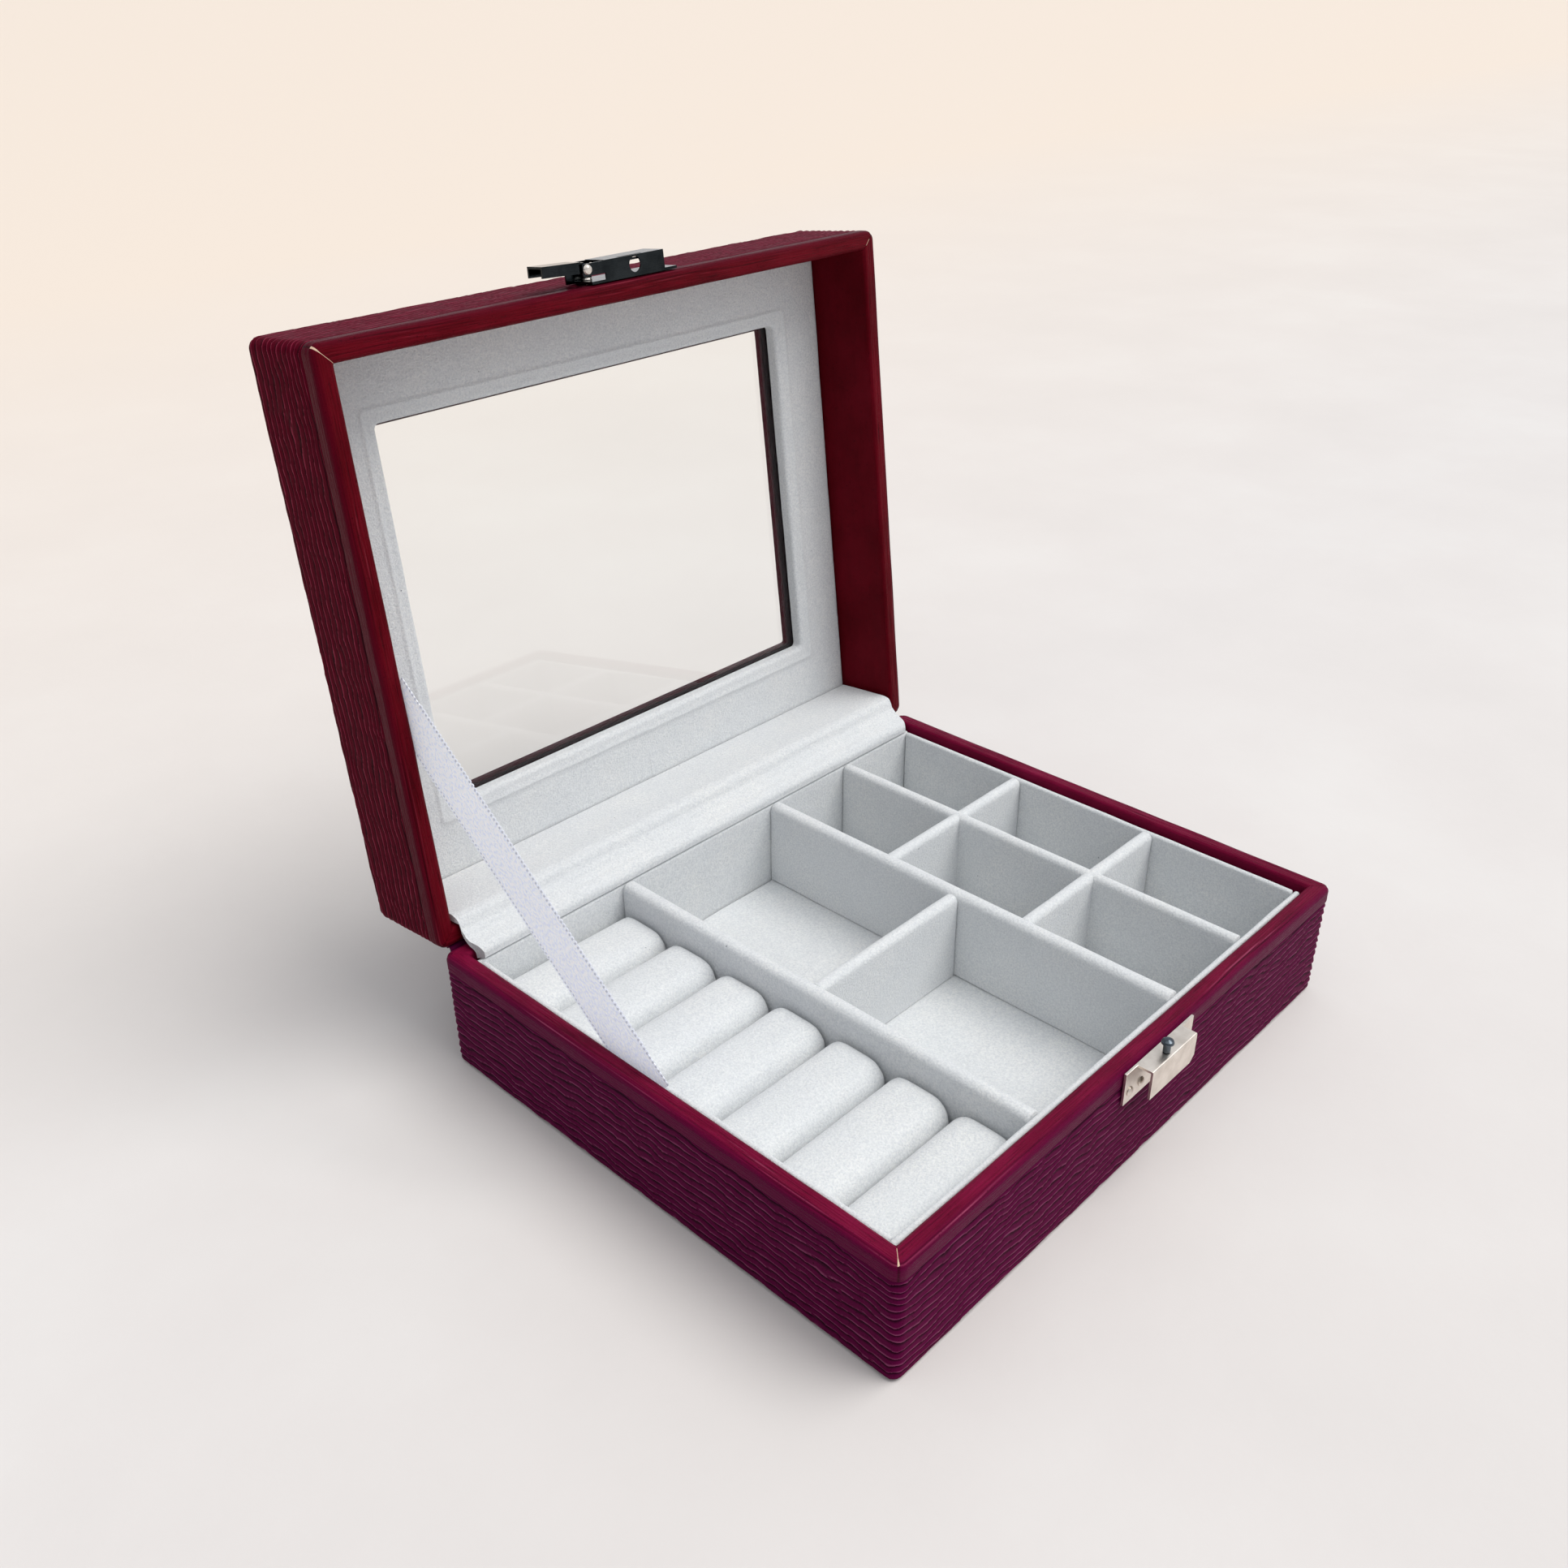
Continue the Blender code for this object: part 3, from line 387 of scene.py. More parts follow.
def band_rows(rim, way, inside, middle):
    """The folded band as lines of (inset, depth below the rim), outside first, then the back of the skin."""
    lip_r = 1.2 * MM
    line = [(0.32 * MM, BAND_DROP + 0.1 * MM), (0.12 * MM, BAND_DROP - 0.15 * MM), (0.03 * MM, BAND_DROP - 0.6 * MM)]
    line += [(0.0, BAND_DROP - 0.6 * MM - 0.5 * MM * k) for k in range(1, 6)]
    line += arc(EDGE_R, EDGE_R, EDGE_R, 180, 270, 7)
    line += [(EDGE_R + (RIM_W - EDGE_R - lip_r) * k / 6, 0.0) for k in range(1, 6)]
    line += arc(RIM_W - lip_r, lip_r, lip_r, 270, 360, 6)
    deep = max(3, round(inside / (1.6 * MM)))
    line += [(RIM_W, lip_r + (inside - lip_r) * k / deep) for k in range(1, deep + 1)]
    back = [(RIM_W - SKIN, inside), (RIM_W - SKIN, lip_r)] + arc(EDGE_R, EDGE_R, EDGE_R - SKIN, 270, 180, 4)
    back += [(SKIN, BAND_DROP), (SKIN, BAND_DROP + 0.1 * MM)]
    made = []
    for inset, depth in line + back:
        half_x, half_y, radius, height = inset_row(inset, rim - way * depth)[:4]
        made.append((half_x, half_y, radius, height, middle, 1.0 if (inset, depth) in line else 0.0, depth))
    return made + [made[0]], len(line)


def band_dress(seed, front_count, splits):
    """Lengthwise creases, a puckered outer edge, mitre lines, and splits at (corner, first row, last row)."""
    swell, crease_deep, pucker_deep, mitre_deep = 0.10 * MM, 0.12 * MM, 0.09 * MM, 0.07 * MM
    pucker_rows, outer_rows, outer_fade = 6, 16, 7
    corners = {}
    for i, (side_x, side_y, turn, gone) in enumerate(band_stations):
        if abs(math.degrees(turn) % 90 - 45) < 1:
            corners[i] = (int(math.copysign(1, side_x)), int(math.copysign(1, side_y)))

    def dress(gone, depth, share, i, j):
        if j >= front_count:
            return 0.0, 0.0, 0.0, 0.0, 0.0, gone, 1.0
        sway = noise.noise(Vector((gone * 28, 0.0, seed)))
        push = share * swell * noise.noise(Vector((gone * 60, j * 0.22, seed + 5)))
        line = painted_shine = 0.0
        # Each fold line is pressed in, and its mark paints it dark as shade; a painted highlight runs just beside it.
        for fold_line, swing, strength in ((13.4, 2.2, 1.0), (16.2, 3.0, 0.7), (10.6, 1.6, 0.5)):
            here = 0.45 + 1.1 * noise.noise(Vector((gone * 30, fold_line, seed + 9)))
            off = j - fold_line - swing * sway
            line = max(line, strength * max(0.0, 1.0 - abs(off)) * min(1.0, max(0.0, here)))
            painted_shine = max(painted_shine, max(0.0, 1.0 - abs(off - 1.4) / 0.9) * max(0.0, here - 0.35))
        push -= crease_deep * line
        pucker = 0.0
        if j < pucker_rows:
            pucker = noise.noise(Vector((gone * 120, 0, seed + 3)))
            push += pucker_deep * pucker * (1 - j / pucker_rows)
        mitre = corners.get(i)
        bare = 0.0
        if mitre:
            push -= mitre_deep if 8 <= j < front_count - 4 else 0.0
            line = max(line, 0.75)
            for corner, first, last in splits:
                if corner == mitre and first <= j <= last:
                    bare = 1.0
        # The outer face is marked to be painted darker as shade; puckers on the outer edge also get painted shade.
        outside = max(0.0, min(1.0, (outer_rows - j) / outer_fade))
        return push, line + 0.25 * max(0.0, pucker) * (j < 4), bare, outside, painted_shine, gone, j / FOLDED_AT
    return dress


band_stations = outline_stations(1.8 * MM)
rows, front_count = band_rows(BASE_H, 1, 10.0 * MM, 0.0)
dress = band_dress(2.0, front_count, [((-1, -1), 12, 21)])
make_piece("plain_leather_base_rim", round_skin(rows, band_stations, 1, dress, BAND_MARKS), plain, "base",
           ["base_rim_band"])
rows, front_count = band_rows(RIM_GAP / 2, -1, 24.0 * MM, -CASE_D / 2)
dress = band_dress(31.0, front_count, [((-1, -1), 9, 24), ((1, -1), 17, 20)])
make_piece("plain_leather_lid_rim", round_skin(rows, band_stations, -1, dress, BAND_MARKS, LID), plain_lid, "lid",
           ["lid_rim_band"])


# ---------------------------------------------------------------- ribbed leatherette of the lid
# The same embossed sheet over the lid's walls and top, its ribs parallel to the rim, mitred round the
# window and turned down into the opening as far as the glass.
LID_H, WINDOW_X, WINDOW_Y, WINDOW_SHIFT, REBATE = 31.2 * MM, 72.5 * MM, 53.6 * MM, -1.4 * MM, 28.5 * MM
TOP_STEP = 0.45 * MM
ribbed_lid = rib_finish("ribbed leatherette of the lid", "190107", "52051a", "8a2a42", "400414")


def lid_row(inset_x, inset_y, radius, height, shift=0.0, ribs=0.0, drop=None):
    return (CASE_W / 2 - inset_x, CASE_D / 2 - inset_y, radius, RIM_GAP / 2 + height, -CASE_D / 2 + shift, ribs, drop)


start, rows = 3.6 * MM, []
count = round((LID_H - EDGE_R - start) / RIB_STEP)
for k in range(count + 1):
    height = start + (LID_H - EDGE_R - start) * k / count
    tuck = share_above(BASE_H - height, tuck_start, tuck_fade)
    inset = tuck_in * tuck
    rows.append(lid_row(inset, inset, CORNER_R - inset, height, 0.0, 1.0 - 0.6 * tuck, height - start))
gone = LID_H - EDGE_R - start
for inset, height in arc(EDGE_R, EDGE_R, EDGE_R, 180, 90, 6)[1:]:
    gone += EDGE_R * math.pi / 12
    rows.append(lid_row(inset, inset, max(CORNER_R - inset, 0.6 * MM), LID_H - 2 * EDGE_R + height, 0.0, 1.0, gone))
edge_x, edge_y, fold = CASE_W / 2 - WINDOW_X, CASE_D / 2 - WINDOW_Y, 1.0 * MM
run_x, run_y = edge_x - fold - EDGE_R, edge_y - fold - EDGE_R
count = round(run_x / TOP_STEP)
for k in range(1, count + 1):
    t = k / count
    rows.append(lid_row(EDGE_R + run_x * t, EDGE_R + run_y * t, 1.3 * MM, LID_H, WINDOW_SHIFT * t, 1.0,
                        gone + run_x * t))
gone += run_x
for k in range(1, 6):
    a = math.radians(90 * k / 5)
    rows.append(lid_row(edge_x - fold + fold * math.sin(a), edge_y - fold + fold * math.sin(a), 1.2 * MM,
                        LID_H - fold + fold * math.cos(a), WINDOW_SHIFT, 0.5 - 0.1 * k, gone + fold * a))
reveal = REBATE + 0.15 * MM
rows += [lid_row(edge_x, edge_y, 1.2 * MM, reveal, WINDOW_SHIFT, 0.0, gone + 2.4 * MM),
         lid_row(edge_x - SKIN, edge_y - SKIN, 1.2 * MM, reveal, WINDOW_SHIFT),
         lid_row(edge_x - SKIN, edge_y - SKIN, 1.2 * MM, LID_H - SKIN, WINDOW_SHIFT),
         lid_row(EDGE_R, EDGE_R, 1.4 * MM, LID_H - SKIN), lid_row(SKIN, SKIN, 2.2 * MM, LID_H - EDGE_R),
         lid_row(SKIN, SKIN, 2.2 * MM, start)]
rows.append(rows[0])
make_piece("ribbed_leather_lid", round_skin(rows, stations, 1, rib_dress, ["rib"], LID), ribbed_lid, "lid",
           ["lid_leather_wrap"])


# ---------------------------------------------------------------- velvet tray and dividers
# Thin boards wrapped in pale grey velvet, the fabric folded over their tops so each has a soft round
# ridge. Walls and floor are dropped in first, then the dividers, half-lapped and glued at the crossings.
velvet, shader = new_finish("pale grey velvet", Roughness=0.92, Specular_IOR_Level=0.2, Sheen_Weight=0.35,
                            Sheen_Roughness=0.35, Sheen_Tint=(0.95, 0.96, 1.0, 1.0))
where = place_on(velvet)
brushed = grain(velvet, where, 55, 4, 0.6)
nap = grain(velvet, where, 1700, 4, 0.7)
specks = grain(velvet, where, 620, 2, 0.4)
colour = ramp(velvet, brushed, [(0.25, "e5e7e8"), (0.45, "e9ebeb"), (0.6, "ecedec"), (0.8, "f0f1ee")])
colour = mixed(velvet, above(velvet, nap, 0.38, 0.66), colour, linear("d3d6d9"))
colour = mixed(velvet, above(velvet, specks, 0.78, 0.82), colour, linear("8f9096"))
connect(velvet, colour, shader.inputs["Base Color"])
relief(velvet, shader, [(nap, 0.8, 0.0005), (grain(velvet, where, 150, 3), 0.4, 0.0007)])


def cut_every(shape, step):
    """Cross cuts along every axis, so that a flat face can be made to swell and sink a little."""
    for axis in range(3):
        spots = [v.co[axis] for v in shape.verts]
        low, high = min(spots), max(spots)
        count = int((high - low) / step)
        facing = Vector((axis == 0, axis == 1, axis == 2))
        for k in range(1, count):
            spot = facing * (low + (high - low) * k / count)
            bmesh.ops.bisect_plane(shape, geom=shape.verts[:] + shape.edges[:] + shape.faces[:], dist=1e-7,
                                   plane_co=spot, plane_no=facing)


def soft_hands(shape, amount, seed):
    """The slight swell and sink of fabric glued over a board by hand."""
    shape.normal_update()
    for vert in shape.verts:
        spot = vert.co * 75 + Vector((seed, 0, 0))
        vert.co += vert.normal * amount * noise.noise(spot)


def block(low, high):
    """A plain block between two corners."""
    shape = bmesh.new()
    bmesh.ops.create_cube(shape, size=1.0)
    bmesh.ops.transform(shape, verts=shape.verts,
                        matrix=Matrix.Translation((low + high) / 2) @ Matrix.Diagonal((*(high - low), 1)))
    return shape


def long_top_edges(shape, run):
    """The edges of a block that lie along its top in the direction it runs."""
    top = max(v.co.z for v in shape.verts)
    return [e for e in shape.edges if all(v.co.z > top - 1e-6 for v in e.verts)
            and abs(e.verts[0].co[run] - e.verts[1].co[run]) > 5 * MM]


def round_off(shape, edges, radius, segments):
    bmesh.ops.bevel(shape, geom=edges, offset=radius, offset_type="OFFSET", segments=segments, profile=0.5,
                    affect="EDGES", clamp_overlap=True, material=-1)


def velvet_board(name, low, high, ridge, seed, into=None):
    """A wrapped board. ridge is the radius of its two long top edges, which meet on a thin board; into is how
    far the ridge of its left end runs on into its neighbour's."""
    end_r, cut_step, swell = 0.35 * MM, 4.0 * MM, 0.16 * MM
    blend_length, blend_start, blend_height = 3.0 * MM, 6.0 * MM, 2.5 * MM
    low, high = Vector(low), Vector(high)
    board = block(low, high)
    run = 0 if high.x - low.x > high.y - low.y else 1
    round_off(board, long_top_edges(board, run), ridge, 6)
    rims = [e for e in board.edges if abs(e.verts[0].co[run] - e.verts[1].co[run]) < 1e-6
            and max(v.co.z for v in e.verts) > low.z + 1e-6]
    round_off(board, rims, end_r, 2)
    cut_every(board, cut_step)
    soft_hands(board, swell, seed)
    if into:
        for vert in board.verts:
            near = 1.0 - min(1.0, abs(vert.co.x - low.x) / blend_length)
            vert.co.x -= into * near * share_above(vert.co.z, high.z - blend_start, blend_height)
    return make_piece(name.replace("tray_", "velvet_tray_").replace("divider", "velvet_divider"), board, velvet,
                      "base", [name], sharp=70)


TRAY_TOP, RIDGE_TOP, FLOOR, GLUE = 34.8 * MM, 35.2 * MM, 6.2 * MM, 0.3 * MM
ix, iy, ox, oy, tray_low, wall_r = 91.6 * MM, 73.9 * MM, 93.5 * MM, 75.8 * MM, 4.2 * MM, 0.9 * MM
velvet_board("tray_front_wall", (-ox, -oy, tray_low), (ox, -iy, TRAY_TOP), wall_r, 1.0)
velvet_board("tray_back_wall", (-ox, iy, tray_low), (ox, oy, TRAY_TOP), wall_r, 4.0)
velvet_board("tray_left_wall", (-ox, -iy + GLUE, tray_low), (-ix, iy - GLUE, TRAY_TOP), wall_r, 7.0)
velvet_board("tray_right_wall", (ix, -iy + GLUE, tray_low), (ox, iy - GLUE, TRAY_TOP), wall_r, 9.0)
velvet_board("tray_floor", (-ix + GLUE, -iy + GLUE, tray_low), (ix - GLUE, iy - GLUE, FLOOR), 0.5 * MM, 12.0)
foot, end = FLOOR + GLUE, iy - GLUE
velvet_board("divider_rings", (-41.4 * MM, -end, foot), (-36.4 * MM, end, RIDGE_TOP), 2.2 * MM, 15.0)
velvet_board("divider_main", (22.4 * MM, -end, foot), (27.4 * MM, end, RIDGE_TOP), 2.2 * MM, 18.0)
velvet_board("divider_small", (58.1 * MM, -end, foot), (62.2 * MM, end, RIDGE_TOP), 1.95 * MM, 21.0)
velvet_board("large_cross_divider", (-36.1 * MM, -3.6 * MM, foot), (22.1 * MM, 0.8 * MM, RIDGE_TOP), 2.1 * MM, 24.0,
             into=1.6 * MM)
for number, y in enumerate((25.7 * MM, -24.8 * MM), 1):
    velvet_board(f"small_cross_divider_{number}", (27.7 * MM, y - 2.1 * MM, foot), (ix - GLUE, y + 2.1 * MM, RIDGE_TOP),
                 2.0 * MM, 27.0 + number, into=2.6 * MM)


# ---------------------------------------------------------------- ring rolls
# Seven foam rolls, each rolled in velvet, packed side by side so that rings stand in the slots between
# them. The covers are blown up a little in a short cloth run, which rounds their ends and shoulders.
ROLLS, ROLL_TOP, ROLL_X = 7, 27.6 * MM, (-91.3 * MM, -41.7 * MM)
shoulder_r, end_r, mesh_step = 6.3 * MM, 1.6 * MM, 1.3 * MM
slack, most, sag_deep, sag_above, swell = 0.35 * MM, 0.85 * MM, 0.22 * MM, 20 * MM, 0.3 * MM
pitch = (2 * iy - GLUE) / ROLLS


def apply_modifiers(piece):
    depsgraph = bpy.context.evaluated_depsgraph_get()
    depsgraph.update()
    mesh = bpy.data.meshes.new_from_object(piece.evaluated_get(depsgraph))
    piece.modifiers.clear()
    piece.data = mesh


rolls = []
for number in range(ROLLS):
    y = iy - GLUE / 2 - pitch * (number + 0.5)
    half = (pitch - GLUE) / 2 - slack
    low = Vector((ROLL_X[0] + slack, y - half, FLOOR + GLUE + slack))
    high = Vector((ROLL_X[1] - slack, y + half, ROLL_TOP - slack))
    roll = block(low, high)
    round_off(roll, long_top_edges(roll, 0), shoulder_r, 10)
    rims = [e for e in roll.edges if len({round(v.co.x, 6) for v in e.verts}) == 1
            and max(v.co.z for v in e.verts) > low.z + 2 * MM]
    round_off(roll, rims, end_r, 3)
    piece = make_piece(f"ring_roll_cover_{number + 1}", roll, velvet, "base", [f"ring_roll_{number + 1}"])
    remesh = piece.modifiers.new("remesh", "REMESH")
    remesh.mode, remesh.voxel_size, remesh.use_smooth_shade = "VOXEL", mesh_step, True
    apply_modifiers(piece)
    rolls.append((piece, [v.co.copy() for v in piece.data.vertices], y))
for piece, _, _ in rolls:
    cloth = piece.modifiers.new("cloth", "CLOTH")
    cloth.settings.use_pressure = True
    cloth.settings.uniform_pressure_force = 4.0
    cloth.settings.effector_weights.gravity = 0.0
    cloth.settings.quality = 6
for moment in range(1, 21):
    scene.frame_set(moment)
for piece, _, _ in rolls:
    apply_modifiers(piece)
scene.frame_set(1)
for number, (piece, cut, y) in enumerate(rolls):
    piece.data.materials.clear()
    piece.data.materials.append(velvet)
    limit = (pitch - GLUE) / 2
    for vert, first in zip(piece.data.vertices, cut):
        moved = vert.co - first
        if moved.length > most:
            moved *= most / moved.length
        spot = first + moved
        sag = sag_deep * noise.noise(spot * 90 + Vector((number * 7.0, 0, 0)))
        spot += Vector((0, 0, sag if spot.z > sag_above else 0.0))
        spot.x = max(ROLL_X[0], min(ROLL_X[1], spot.x))
        spot.y = max(y - limit, min(y + limit, spot.y))
        spot.z = max(FLOOR + GLUE, min(ROLL_TOP + swell, spot.z))
        vert.co = spot
    for face in piece.data.polygons:
        face.use_smooth = True
    rounder = piece.modifiers.new("rounder", "SUBSURF")
    rounder.levels = rounder.render_levels = 1


# ---------------------------------------------------------------- window pane
# A clear glass pane, dropped into the rebate of the lid's frame and held by the velvet mat.
glass, shader = new_finish("clear glass", Transmission_Weight=1.0, IOR=1.45, Base_Color=(0.97, 0.985, 0.98, 1.0))
where = place_on(glass)
connect(glass, between(glass, grain(glass, where, 30, 3), 0.0, 0.035), shader.inputs["Roughness"])
relief(glass, shader, [(grain(glass, where, 12, 2), 0.02, 0.0002)])
wear("window_glass", glass)


# ---------------------------------------------------------------- velvet mat of the lid
# A card mat covered in the same velvet, lying inside the lid round the window. The fabric is turned over
# the edge of the opening, and the turned part shows as a faint step a few millimetres wide.
MAT_FACE, MAT_BACK, outer_r, opening_r = 22.0 * MM, 26.0 * MM, 0.8 * MM, 1.5 * MM
out = RIM_W + 0.4 * MM
in_x, in_y = CASE_W / 2 - WINDOW_X - 1.6 * MM, CASE_D / 2 - WINDOW_Y - 1.2 * MM


def mat_row(share, lift, grow=0.0, radius=opening_r):
    """share is 0 at the outside of the mat and 1 at its opening; lift is measured from the mat's face."""
    return lid_row(out + (in_x - out) * share + grow, out + (in_y - out) * share + grow, radius, MAT_FACE + lift,
                   WINDOW_SHIFT * share)


thick = MAT_BACK - MAT_FACE
rows = [mat_row(0, lift, grow, outer_r) for lift, grow in ((thick, 0.0), (1.0 * MM, 0.0), (0.3 * MM, 0.3 * MM),
                                                           (0.0, 1.0 * MM))]
rows += [mat_row(0.1 + 0.62 * k / 6, 0.0) for k in range(7)]
rows += [mat_row(1, lift * MM, -before * MM) for lift, before in ((0.02, 5.0), (-0.22, 4.5), (-0.26, 4.1),
                                                                  (-0.05, 3.6), (0.15, 2.6))]
rows += [mat_row(1, 1.7 * MM - h, -1.6 * MM + d) for d, h in arc(0, 0, opening_r, 90, 0, 5)]
rows += [mat_row(1, thick), mat_row(0.5, thick)]
rows.append(rows[0])


def mat_dress(gone, depth, share, i, j):
    swell = 0.10 * MM
    return (swell * noise.noise(Vector((gone * 60, j * 0.3, 77.0))),)


make_piece("velvet_window_mat", round_skin(rows, outline_stations(4.0 * MM, 6), 1, mat_dress, place=LID), velvet,
           "lid", ["lid_velvet_mat"], sharp=70)


# ---------------------------------------------------------------- velvet hinge strip
# A padded strip of velvet glued to the inside of the lid's back wall. It bends once, with two fold lines,
# and rolls over the base's back rim as a bright bead before it tucks in front of the tray.
def from_lid(forward, height):
    """(y, z) of a point so far in front of the hinge and so high above the lid's rim, the lid being open."""
    spot = LID @ Vector((0, -forward * MM, height * MM + RIM_GAP / 2))
    return (spot.y, spot.z)


def through(points, steps):
    """A smooth line through the points, with steps pieces between one and the next."""
    line = []
    for k in range(len(points) - 1):
        p0, p1, p2, p3 = (Vector(points[max(0, min(len(points) - 1, k + d))]) for d in (-1, 0, 1, 2))
        for s in range(steps):
            t = s / steps
            line.append(0.5 * (2 * p1 + (p2 - p0) * t + (2 * p0 - 5 * p1 + 4 * p2 - p3) * t * t
                               + (3 * p1 - p0 - 3 * p2 + p3) * t * t * t))
    return line + [Vector(points[-1])]


def long_skin(section, half_length, step, dress, marks=()):
    """A closed (y, z) section run along X, its two ends closed. dress gives x, push, then each mark's value."""
    skin = bmesh.new()
    layers = [skin.verts.layers.float.new(name) for name in marks]
    across, round_count = round(2 * half_length / step), len(section)
    bmesh.ops.create_grid(skin, x_segments=across, y_segments=round_count, size=0.5)
    for vert in skin.verts:
        share, j = vert.co.x + 0.5, round((vert.co.y + 0.5) * round_count) % round_count
        before, now, after = section[j - 1], section[j], section[(j + 1) % round_count]
        out = Vector(((after - before).y, -(after - before).x)).normalized()
        x, push, *values = dress((2 * share - 1), j)
        vert.co = (x, now.x + out.x * push, now.y + out.y * push)
        for layer, value in zip(layers, values):
            vert[layer] = value
    bmesh.ops.remove_doubles(skin, verts=skin.verts, dist=1e-6)
    bmesh.ops.holes_fill(skin, edges=[e for e in skin.edges if e.is_boundary], sides=0)
    return skin


def on_base(*places):
    """(y, z) places on the base, given in millimetres."""
    return [(y * MM, z * MM) for y, z in places]


face = [from_lid(8.2, 21.5), from_lid(8.25, 15.0), from_lid(8.2, 9.0), from_lid(8.15, 3.0), from_lid(7.9, 1.0),
        from_lid(7.0, -0.6)]
face += on_base((80.9, 41.4), (79.2, 40.0), (77.6, 39.4), (76.0, 39.1), (74.7, 38.4), (73.9, 37.2), (73.8, 35.4))
back = on_base((75.3, 35.4), (75.6, 36.8), (76.4, 37.6), (78.2, 37.9), (80.2, 38.9), (81.6, 40.6))
back += [from_lid(5.9, -0.9), from_lid(5.9, 1.2), from_lid(5.9, 21.5)]
front_line = through(face, 4)
section = front_line + through(back, 2)
strip_half, narrowing, strip_swell = 93.2 * MM, 1.6 * MM, 0.12 * MM
narrow_from, narrow_rows, fold_width, folds = 30, 14, 1.3, ((23, 0.28 * MM), (27, 0.22 * MM))


def strip_dress(share, j):
    """Narrower where it tucks in, a little uneven, and pressed in along its two fold lines (row, depth)."""
    if j >= len(front_line):
        return share * strip_half, 0.0
    x = share * (strip_half - narrowing * share_above(j, narrow_from, narrow_rows))
    push = strip_swell * noise.noise(Vector((x * 55, j * 0.25, 41.0)))
    for fold_line, deep in folds:
        wander = 1.1 * noise.noise(Vector((x * 30, fold_line, 5.0)))
        push -= deep * max(0.0, 1.0 - abs(j - fold_line - wander) / fold_width)
    return x, push


strip = make_piece("velvet_hinge_strip", long_skin(section, strip_half, 2.0 * MM, strip_dress), velvet, None,
                   ["hinge_velvet_strip"], sharp=75)
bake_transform(strip)


# ---------------------------------------------------------------- outer hinge leather
# A strip of the ribbed leatherette glued across the back of both halves: it is the hinge itself, and it
# bends along one soft line between the two rims.
hinge_half, hinge_rib_deep = 96.5 * MM, 0.16 * MM
outer = on_base((83.2, 27.0), (83.2, 30.0), (83.2, 33.0), (83.3, 35.0), (83.9, 36.6))
outer += [from_lid(-1.2, 2.2), from_lid(-0.9, 4.0), from_lid(-0.9, 7.0), from_lid(-0.9, 10.0)]
inner = [from_lid(-0.3, 10.0), from_lid(-0.3, 4.0), from_lid(-0.3, 1.0)]
inner += on_base((82.6, 36.0), (82.6, 33.0), (82.6, 27.0))
outer_line = through(outer, 6)
section = outer_line + through(inner, 1)
gone_down = [0.0]
for a, b in zip(outer_line, outer_line[1:]):
    gone_down.append(gone_down[-1] + (b - a).length)


def hinge_dress(share, j):
    x = share * hinge_half
    if j < len(outer_line):
        height = rib_height(x + 1.7, gone_down[j] + 0.4)     # far from the other sheets' pattern
        return x, -hinge_rib_deep * (1 - height), height
    return x, 0.0, PLAIN_RIB


hinge = make_piece("hinge_leather_strip", long_skin(section, hinge_half, 1.8 * MM, hinge_dress, ["rib"]), ribbed,
                   None, ["hinge_leather"], sharp=60)
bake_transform(hinge)


# ---------------------------------------------------------------- stay ribbon
# A white satin ribbon with looped edges, glued between wall and lining of both halves on the left. It is
# drawn straight when the lid is open, and it keeps the lid from falling back.
# The faint emission makes the satin glow a little: painted light that brightens it where the lamps leave it dim.
satin, shader = new_finish("white satin", Specular_IOR_Level=0.5, Sheen_Weight=0.2, Sheen_Roughness=0.3,
                           Subsurface_Weight=0.7, Subsurface_Radius=(1.0, 1.0, 1.0), Subsurface_Scale=0.001,
                           Emission_Color=(0.86, 0.89, 1.0, 1.0), Emission_Strength=0.2)
weave = node(satin, "UVMap", {}, uv_map="cloth").outputs["UV"]
threads = node(satin, "Mapping", {"Vector": weave, "Scale": (26.0, 200.0, 1.0)}).outputs["Vector"]
twill = node(satin, "TexWave", {"Vector": threads, "Scale": 0.5, "Distortion": 1.2, "Detail": 2.0,
                                "Detail Scale": 2.0}, wave_type="BANDS", bands_direction="DIAGONAL").outputs["Fac"]
floats = grain(satin, node(satin, "Mapping", {"Vector": weave, "Scale": (22.0, 110.0, 1.0)}).outputs["Vector"], 1.0, 4)
# The ribbon is painted a cooler, darker lavender towards its lower end, down in the case, as shade.
height = node(satin, "SeparateXYZ", {"Vector": place_on(satin)}).outputs["Z"]
colour = mixed(satin, above(satin, height, 0.12, 0.03), linear("f6f8fa"), linear("e4e6f4"))
colour = mixed(satin, above(satin, floats, 0.42, 0.62), colour, linear("ccd2e6"))
# Dots of painted shadow along both edges of the ribbon, between the thread loops.
sides = node(satin, "SeparateXYZ", {"Vector": weave})
off_middle = maths(satin, "ABSOLUTE", maths(satin, "SUBTRACT", sides.outputs["X"], 0.5))
beat = maths(satin, "SINE", maths(satin, "MULTIPLY", sides.outputs["Y"], 600.0))
gaps = maths(satin, "MULTIPLY", above(satin, off_middle, 0.45, 0.465), above(satin, beat, -0.2, 0.3))
colour = mixed(satin, gaps, colour, linear("9a9da8"))
connect(satin, colour, shader.inputs["Base Color"])
connect(satin, between(satin, floats, 0.3, 0.55), shader.inputs["Roughness"])
relief(satin, shader, [(twill, 0.5, 0.0002), (floats, 0.9, 0.0006)])

